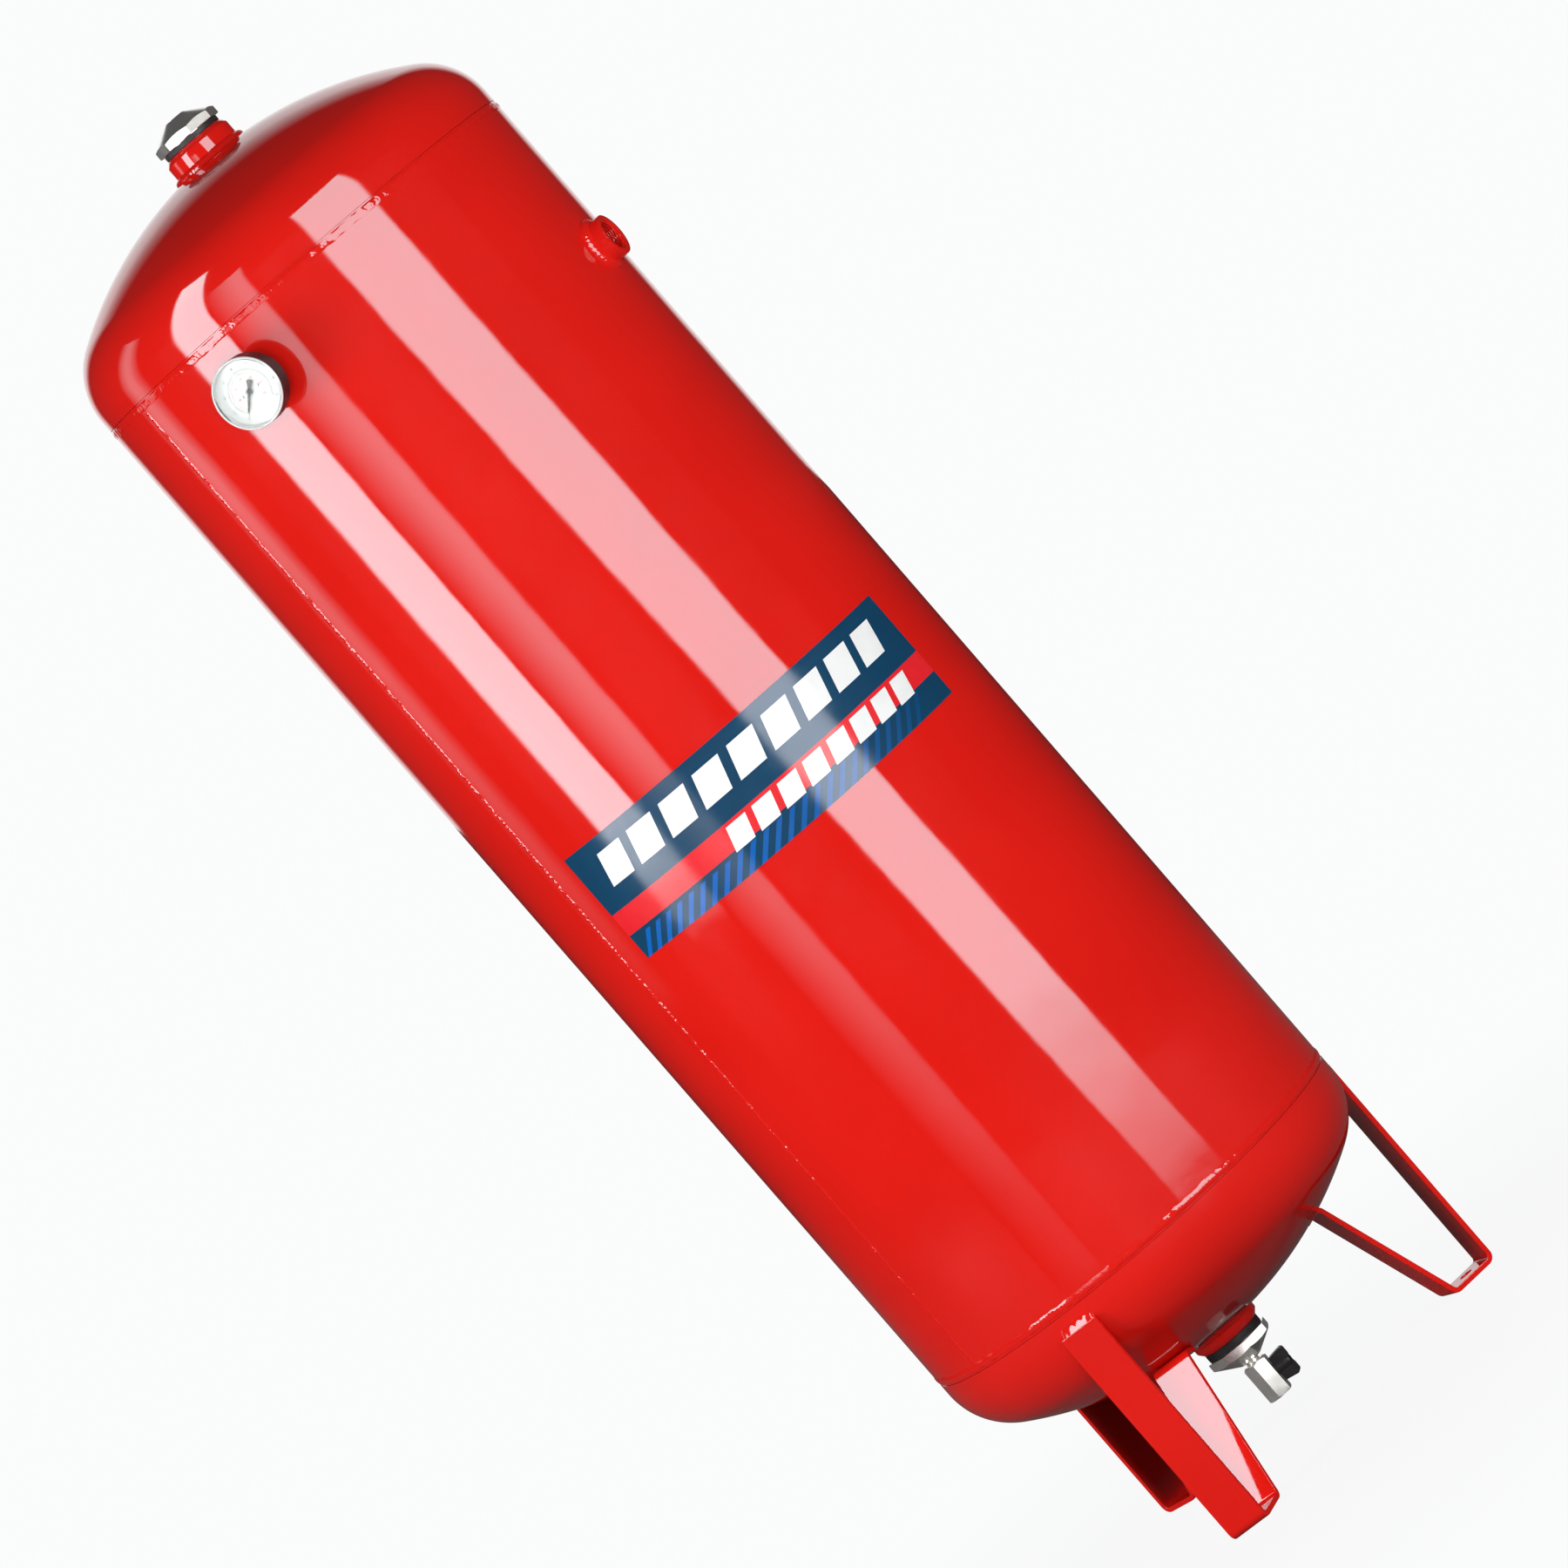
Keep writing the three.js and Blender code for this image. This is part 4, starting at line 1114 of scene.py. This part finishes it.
def gauge_window_rim():
    """The milky outer edge of the window."""
    high = local_box("gauge_window", GAUGE_PLACE)[1]
    skin = 0.01 * MM
    r, rim = high.x + skin, high.z + 2 * skin
    inner, bottom = high.x - 1.7 * MM, CASE_FRONT + 0.2 * MM
    outline = [(inner, bottom), (r, bottom), (r, high.z - 0.9 * MM), (high.x - 0.9 * MM, rim), (inner, rim)]
    ring = gauge_ring("gauge_window_rim", outline, 0.2 * MM, 2)
    finished(ring, frosted_plastic())


def gauge_dial_surround():
    """The pale lining of the case between the dial and the window."""
    inner, lip, outer = DIAL_RADIUS - 0.2 * MM, CASE_RADIUS - 2.0 * MM, CASE_RADIUS - 1.55 * MM
    back, front = DIAL_FACE + 0.1 * MM, CASE_FRONT - 3.2 * MM
    outline = [(inner, back), (outer, back), (outer, front), (lip, front)]
    dressed(turned("gauge_dial_surround", outline, 128, GAUGE_PLACE), "dial_white")


def dial_point(turn, radius, z=0.0):
    """A place on the dial. turn is in degrees clockwise from the top."""
    a = math.radians(90 - turn)
    return Vector((radius * math.cos(a), radius * math.sin(a), z))


def ticks(name, count, every, inner, long_reach, short_reach, look, width):
    """A scale of raised lines over the dial's sweep, every so many of them longer."""
    face = GAUGE_PLACE @ Matrix.Translation((0, 0, DIAL_FACE))
    marks = []
    for i in range(count + 1):
        turn = math.radians(DIAL_START + DIAL_SWEEP * i / count)
        main = i % every == 0
        reach = long_reach if main else short_reach
        half = width * (1 if main else 0.6) / 2
        outline = rectangle(-half, half, inner, inner + reach)
        marks.append(raised("tick", outline, PRINT_LOW, PRINT_HIGH, face @ Matrix.Rotation(-turn, 4, "Z")))
    finished(merged(name, *marks), look())


def ring_line(name, radius, width, look):
    """The fine circle a scale stands on."""
    steps = 96
    section = rectangle(radius, radius + width, DIAL_FACE + PRINT_LOW, DIAL_FACE + PRINT_HIGH)
    turns = [DIAL_START + DIAL_SWEEP * i / steps for i in range(steps + 1)]
    rows = [[GAUGE_PLACE @ dial_point(turn, r, z) for r, z in section] for turn in turns]
    finished(joined_rows(name, rows, ring=False, capped=True), look())


def dial_number(text, turn, radius, size):
    curve = bpy.data.curves.new("number", "FONT")
    curve.body = text
    curve.size = size
    curve.align_x = "CENTER"
    curve.align_y = "CENTER"
    curve.extrude = 0.03 * MM
    temporary = linked("number", curve)
    graph = bpy.context.evaluated_depsgraph_get()
    mesh = bpy.data.meshes.new_from_object(temporary.evaluated_get(graph))
    bpy.data.objects.remove(temporary)
    mesh.transform(GAUGE_PLACE @ Matrix.Translation(dial_point(turn, radius, DIAL_FACE + 0.04 * MM)))
    return linked("number", mesh)


def numbers(name, values, radius, size, look):
    last = values[-1]
    made = [dial_number(str(v), DIAL_START + DIAL_SWEEP * v / last, radius, size) for v in values]
    finished(merged(name, *made), look())


def gauge_dial():
    """The white dial with a black outer scale and a red inner one."""
    outline = rectangle(1.6 * MM, DIAL_RADIUS, DIAL_FACE - 0.8 * MM, DIAL_FACE)
    dressed(gauge_ring("gauge_dial_plate", outline, 0.15 * MM, 2), "dial_white", "gauge_dial")
    ring_line("gauge_dial_outer_line", 19.4 * MM, 0.25 * MM, scale_black)
    ticks("gauge_dial_outer_ticks", 80, 10, 19.4 * MM, 2.6 * MM, 1.5 * MM, scale_black, 0.4 * MM)
    numbers("gauge_dial_outer_numbers", range(0, 17, 2), 24.4 * MM, 4.2 * MM, scale_black)
    ring_line("gauge_dial_inner_line", 17.2 * MM, 0.22 * MM, scale_red)
    ticks("gauge_dial_inner_ticks", 48, 8, 15.8 * MM, 1.4 * MM, 1.4 * MM, scale_red, 0.35 * MM)
    numbers("gauge_dial_inner_numbers", range(0, 241, 40), 12.8 * MM, 3.0 * MM, scale_red)


def gauge_pointer():
    """A thin needle with a spade-shaped tail and a round hub. It points to the scale's start at rest."""
    low, high = local_box("gauge_pointer", GAUGE_PLACE)
    place = GAUGE_PLACE @ Matrix.Rotation(-math.radians(DIAL_START), 4, "Z")
    right_side = [(0.8, 18.4), (1.3, 3.5), (1.5, 0), (1.4, -3.5), (2.0, -6.0), (3.0, -9.4), (2.6, -10.2)]
    left_side = [(-x, y) for x, y in reversed(right_side)]
    outline = [(x * MM, y * MM) for x, y in left_side[-1:] + right_side + [(0, -11.0)] + left_side[:-1]]
    bottom = low.z + 0.4 * MM
    needle = raised("needle", outline, bottom, bottom + 0.6 * MM, place)
    hub = [
        (0.8 * MM, low.z), (2.6 * MM, low.z), (2.8 * MM, low.z + 0.2 * MM),
        (2.8 * MM, high.z - 0.5 * MM), (2.3 * MM, high.z - 0.1 * MM), (0.8 * MM, high.z),
    ]
    obj = merged("gauge_pointer_needle", needle, turned("hub", hub, 40, place))
    tidied(obj)
    bevelled(obj, 0.08 * MM, 2)
    finished(obj, pointer_black(), ["gauge_pointer"], "gauge_pointer_group")


def gauge_socket():
    """The gauge's brass stem: a thread into the boss and a six-sided collar behind the case."""
    collar = CASE_BACK - 7 * MM
    end = collar - 11 * MM
    seat, front = CASE_BACK - 0.3 * MM, CASE_BACK + 2.8 * MM
    thread, bore, neck = 6.5 * MM, 2 * MM, 6.2 * MM

    def outline_at(angle):
        side = hex_radius(angle, 14 * MM)
        outline = [(bore, end), (thread - 1 * MM, end)]
        outline += outer_thread(angle, thread, 0.6 * MM, 1.34 * MM, end + 0.5 * MM, 10 * MM, 56)
        outline += [(thread - 0.5 * MM, collar), (side - 0.4 * MM, collar), (side, collar + 0.4 * MM)]
        outline += [(side, seat - 0.3 * MM), (side - 0.3 * MM, seat), (neck, seat), (neck, front)]
        return outline + [(bore, front)]

    dressed(swept("gauge_socket_stem", outline_at, 96, GAUGE_PLACE, 20), "brass", "gauge_socket")


def dial_screw(node):
    low, high = local_box(node, GAUGE_PLACE)
    centre = (low + high) / 2
    place = GAUGE_PLACE @ Matrix.Translation((centre.x, centre.y, 0))
    head, top = (high.x - low.x) / 2, high.z
    outline = [
        (0, low.z), (0.8 * MM, low.z), (0.8 * MM, top - 0.8 * MM), (head, top - 0.8 * MM),
        (head, top - 0.3 * MM), (head * 0.7, top), (0, top),
    ]
    screw = turned(node + "_head", outline, 32, place)
    slot = rectangle(-2 * MM, 2 * MM, -0.2 * MM, 0.2 * MM)
    spin = place @ Matrix.Rotation(math.radians(random.uniform(15, 75)), 4, "Z")
    cut(screw, raised("slot", slot, top - 0.4 * MM, top + 1 * MM, spin))
    dressed(screw, "bright_steel", node)


# ---------------------------------------------------------------- carried-over frame nodes

def dress_frame_nodes():
    """Gives every frame node that still shows the procedural look of its slot."""
    slots = {part["node"]: part["material_slot"] for part in frame["record"]["subparts"]}
    for name, node in frame["nodes"].items():
        if node.hide_render:
            continue
        node.data.materials.clear()
        node.data.materials.append(SLOT_LOOKS[slots[name]]())
        for face in node.data.polygons:
            face.use_smooth = True
        node.data.set_sharp_from_angle(angle=math.radians(35))
        bevelled(node, 0.12 * MM, 2)


# ---------------------------------------------------------------- stage

def camera_frame():
    a = math.radians(CAMERA_AZIMUTH)
    right = Vector((math.cos(a), math.sin(a), 0))
    spot = Vector((math.sin(a), -math.cos(a), 0)) * CAMERA_DISTANCE + Vector((0, 0, CAMERA_HEIGHT))
    aim = right * AIM_RIGHT + Vector((0, 0, AIM_HEIGHT))
    forward = (aim - spot).normalized()
    level_right = forward.cross(Vector((0, 0, 1))).normalized()
    level_up = level_right.cross(forward)
    lean = math.radians(CAMERA_LEAN)
    up = level_up * math.cos(lean) + level_right * math.sin(lean)
    side = forward.cross(up)
    return spot, Matrix((side, up, -forward)).transposed()


def camera():
    data = bpy.data.cameras.new("camera")
    data.lens = LENS
    data.sensor_width = 36
    data.clip_start = 0.1
    data.clip_end = 60
    spot, turn = camera_frame()
    obj = linked("camera", data)
    obj.matrix_world = Matrix.Translation(spot) @ turn.to_4x4()
    bpy.context.scene.camera = obj


def from_camera_side(azimuth, distance, height):
    """A place at an azimuth that counts from the camera's side of the tank."""
    a = math.radians(CAMERA_AZIMUTH + azimuth)
    return Vector((distance * math.sin(a), -distance * math.cos(a), height))


def hidden_from(obj, *rays):
    for ray in rays:
        setattr(obj, "visible_" + ray, False)


PANEL_DISTANCE = 2.4


def reflected(spot_angle):
    """The azimuth at which a panel shows at a spot of the tank, both from the camera's side."""
    a = math.radians(spot_angle)
    to_camera = math.atan2(-TANK_RADIUS * math.sin(a), CAMERA_DISTANCE - TANK_RADIUS * math.cos(a))
    leaving = 2 * a - to_camera
    return math.degrees(leaving - math.asin(TANK_RADIUS * math.sin(leaving - a) / PANEL_DISTANCE))


def panel(name, left, right, bottom, top, strength, soft, fade_low, skew=(0, 0)):
    """A tall curved light that shows on the tank between two spots, in degrees from the camera's side.

    Only glossy rays see it. soft is the share of its width over which each side fades, and fade_low is
    the height range and the share to which it dims downwards. skew turns each side's lower end."""
    start, end = reflected(left), reflected(right)
    steps = 24
    skew_top = 1.4
    rows = []
    for i in range(steps + 1):
        u = i / steps
        row = []
        for k in range(steps + 1):
            height = bottom + (top - bottom) * k / steps
            lean = (skew[0] + (skew[1] - skew[0]) * u) * max(0.0, 1 - height / skew_top)
            row.append(from_camera_side(start + (end - start) * u + lean, PANEL_DISTANCE, height))
        rows.append(row)
    count = steps + 1
    firsts = [i * count + k for i in range(steps) for k in range(steps)]
    faces = [(first, first + 1, first + count + 1, first + count) for first in firsts]
    obj = new_object(name, [spot for row in rows for spot in row], faces)
    across = obj.data.attributes.new("across", "FLOAT", "POINT")
    across.data.foreach_set("value", [i / steps for i in range(count) for _ in range(count)])
    obj.data.materials.append(panel_glow(name, strength, soft, fade_low))
    hidden_from(obj, "camera", "diffuse", "shadow", "transmission")


def panel_glow(name, strength, soft, fade_low):
    g = Graph(name)
    across = g.add("ShaderNodeAttribute")
    across.attribute_name = "across"
    place = across.outputs["Fac"]
    level = g.work("MULTIPLY", g.span(place, 0.0, soft[0]), g.span(place, 1.0, 1 - soft[1]))
    height = g.add("ShaderNodeSeparateXYZ", Vector=g.place).outputs["Z"]
    level = g.work("MULTIPLY", level, g.span(height, *fade_low))
    level = g.work("MULTIPLY", level, strength)
    return g.show(g.add("ShaderNodeEmission", Color=(1, 1, 1, 1), Strength=level).outputs[0])


def soft_light(name, azimuth, distance, height, size, power, aim_height=0.75):
    """A rectangular light for diffuse shading only, given by its azimuth from the camera's side."""
    data = bpy.data.lights.new(name, "AREA")
    data.shape = "RECTANGLE"
    data.size, data.size_y = size
    data.energy = power
    obj = linked(name, data)
    spot = from_camera_side(azimuth, distance, height)
    turn = (Vector((0, 0, aim_height)) - spot).to_track_quat("-Z", "Y").to_matrix().to_4x4()
    obj.matrix_world = Matrix.Translation(spot) @ turn
    hidden_from(obj, "glossy", "camera")
    return obj


def nickel_box(name, azimuth, distance, height, size, power):
    """A soft box for the nickel alone, which it lights and shows in as bright flats."""
    box = soft_light(name, azimuth, distance, height, size, power, height)
    box.visible_glossy = True
    only_for(box, nickel())


def only_for(light, look):
    """Lets a light reach only the objects that wear a look."""
    wearers = bpy.data.collections.new(light.name + "_wearers")
    for obj in bpy.context.scene.objects:
        if obj.type == "MESH" and look.name in obj.data.materials:
            wearers.objects.link(obj)
    light.light_linking.receiver_collection = wearers


PALE = (0.965, 0.968, 0.972)
DARK = (0.12, 0.12, 0.12, 1)
BACKDROP_WIDE = math.sin(math.radians(24))
BACKDROP_TALL = math.sin(math.radians(42))
BACKDROP_GLOW = 1.0
ROOM_DIM = 0.03
ROOM_SOFT = 0.16


def backdrop_glow(room):
    """Bright straight behind the tank, where the pale backdrop stands, and dark elsewhere."""
    place = room.add("ShaderNodeTexCoord").outputs["Generated"]
    turn = room.add("ShaderNodeVectorRotate", Vector=place, Angle=math.radians(-CAMERA_AZIMUTH))
    turn.rotation_type = "Z_AXIS"
    turned_place = turn.outputs[0]
    squeeze = (BACKDROP_TALL / BACKDROP_WIDE, 0, 1)
    off_centre = room.length(room.add("ShaderNodeMapping", Vector=turned_place, Scale=squeeze).outputs[0])
    fade = room.span(off_centre, BACKDROP_TALL * 0.7, BACKDROP_TALL, BACKDROP_GLOW, 0.0)
    rearward = room.add("ShaderNodeSeparateXYZ", Vector=turned_place).outputs["Y"]
    return room.work("MULTIPLY_ADD", fade, room.work("GREATER_THAN", rearward, 0.0), ROOM_DIM)


def surroundings():
    """Pale to the camera, dark with a pale backdrop to reflections, and faint and even to matt faces."""
    world = bpy.data.worlds.new("room")
    bpy.context.scene.world = world
    room = Tree(world)
    room.nodes.clear()
    ray = room.add("ShaderNodeLightPath")

    def shade(colour, strength):
        return room.add("ShaderNodeBackground", Color=(*colour, 1), Strength=strength).outputs[0]

    to_matt = shade((1, 1, 1), ROOM_SOFT)
    to_gloss = shade((1, 1, 1), backdrop_glow(room))
    unseen = room.mixed(ray.outputs["Is Glossy Ray"], to_matt, to_gloss)
    seen = room.mixed(ray.outputs["Is Camera Ray"], unseen, shade(PALE, 1.0))
    room.add("ShaderNodeOutputWorld", Surface=seen)


def floor_look():
    """Pale to the camera and fading into the room; dark to every other ray, for a deep underside."""
    g = Graph("pale_floor")
    matt = g.add("ShaderNodeBsdfDiffuse", Color=g.ramp(g.noise(3), 0.80, 0.82)).outputs[0]
    room = g.add("ShaderNodeEmission", Color=(*PALE, 1), Strength=1.0).outputs[0]
    far = g.span(g.length(g.place), 0.35, 1.3)
    seen = g.mixed(far, g.mixed(0.93, matt, room), room)
    dark = g.add("ShaderNodeBsdfDiffuse", Color=DARK).outputs[0]
    return g.show(g.mixed(g.add("ShaderNodeLightPath").outputs["Is Camera Ray"], dark, seen))


def floor():
    size = 30
    corners = [(x, y, 0) for x, y in rectangle(-size, size, -size, size)]
    obj = new_object("floor", corners, [(0, 1, 2, 3)])
    obj.location.z = -0.2 * MM
    obj.data.materials.append(floor_look())


def flag(node):
    """A grey filter that shades the inner face of a leg's outer strand, as the dark floor does."""
    place = standing_frame(azimuth_of(node + "_outer_weld"))
    r = TANK_RADIUS - 14 * MM
    corners = [place @ Vector((r, y, z)) for y, z in rectangle(-0.03, 0.03, 0.012, 0.19)]
    obj = new_object(node + "_flag", corners, [(0, 1, 2, 3)])
    g = Graph(node + "_flag")
    through = g.add("ShaderNodeBsdfTransparent", Color=DARK)
    obj.data.materials.append(g.show(through.outputs[0]))
    hidden_from(obj, "camera", "glossy")


def lights():
    panel("strip_main", 5.2, 22.3, -0.4, 2.95, 9.9, (0.05, 0.05), (-0.05, 0.30, 0.05), (11, 5))
    panel("strip_left", -34.9, -22.9, 0.50, 4.3, 13.6, (0.10, 0.04), (0.58, 0.72, 0.0))
    panel("strip_faint", -22.6, -10.9, -0.4, 2.5, 3.8, (0.75, 0.08), (0.08, 0.92, 0.12))
    panel("haze_left", -58, -48, 0.45, 3.0, 2.1, (0.4, 0.4), (0.5, 1.35, 0.0))
    soft_light("key_left", -68, 3.6, 1.2, (1.6, 1.8), 81)
    soft_light("key_front", -5, 3.6, 1.2, (1.8, 1.8), 66)
    soft_light("key_right", 60, 3.6, 1.2, (1.6, 1.8), 59)
    soft_light("fill_low", 15, 2.2, 0.10, (1.6, 0.3), 7, 0.25)
    soft_light("key_back", 180, 3.6, 2.2, (1.8, 1.8), 45)
    nickel_box("low_box_right", 48, 0.36, 0.07, (0.42, 0.13), 0.26)
    nickel_box("low_box_left", -27, 0.36, 0.07, (0.18, 0.13), 0.11)
    nickel_box("high_box_right", 60, 2.4, 1.68, (0.7, 0.6), 1.0)
    flag("rear_leg")
    flag("right_leg")


# ---------------------------------------------------------------- assembly

def build():
    shell()
    head("top_head", HIGH_SEAM, 1)
    head("bottom_head", LOW_SEAM, -1)
    girth_weld_pieces()
    long_seam()
    up = Matrix.Translation((0, 0, TOP_APEX))
    down = Matrix.Translation((0, 0, BOTTOM_APEX)) @ Matrix.Rotation(math.pi, 4, "X")
    end_boss("top_boss", up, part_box("top_boss")[1].z - TOP_APEX, 5 * MM)
    end_boss("bottom_boss", down, BOTTOM_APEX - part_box("bottom_boss")[0].z, 2.8 * MM)
    side_boss("side_port_boss", PORT_PLACE, 6 * MM, 2.3 * MM, -1.3 * MM)
    side_boss("gauge_boss", GAUGE_PLACE, 3.6 * MM, 1.34 * MM, -0.6 * MM)
    bushes()
    for node in LEGS:
        leg(node)
    label()
    valve_body()
    valve_insert()
    valve_handle()
    valve_screw()
    gauge_socket()
    gauge_case()
    gauge_window()
    gauge_window_rim()
    gauge_dial_surround()
    gauge_dial()
    gauge_pointer()
    for node in ("gauge_dial_screw_left", "gauge_dial_screw_right"):
        dial_screw(node)


def girth_weld_pieces():
    for node, seam, side in (("top_girth_weld", HIGH_SEAM, 1), ("bottom_girth_weld", LOW_SEAM, -1)):
        def spot(travel, offset, height):
            return around(travel / TANK_RADIUS, TANK_RADIUS + height, seam + side * offset)

        rows = bead_rows(TAU * TANK_RADIUS, 7.0 * MM, 0.55 * MM, spot, ripples=0.09 * MM, groove=1.6 * MM)
        dressed(joined_rows(node + "_bead", rows, sharp=42), "red_enamel", node)


def bushes():
    """Both bushes and their seals. Each stands on its seal, with its port pointing out of the tank."""
    for end, direction in (("top", 1), ("bottom", -1)):
        node = end + "_reducer"
        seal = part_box(node + "_seal")
        seat = (seal[1].z if direction > 0 else seal[0].z) + direction * 0.3 * MM
        corner = bush_corner(node, seat)
        place = Matrix.Translation((0, 0, seat)) @ Matrix.Rotation(corner, 4, "Z")
        if direction < 0:
            place = place @ Matrix.Rotation(math.pi, 4, "X")
        reducing_bush(node, place)
        seal_ring(node + "_seal", place)


def bush_corner(node, seat):
    """The direction of one corner of the bush's flats, in radians from +X."""
    points = [p for p in node_points(node) if abs(p.z - seat) < 0.2 * MM]
    far = max(points, key=lambda p: p.xy.length)
    return math.atan2(far.y, far.x)


build()
dress_frame_nodes()
camera()
surroundings()
floor()
lights()
bpy.context.scene.view_settings.view_transform = "Standard"
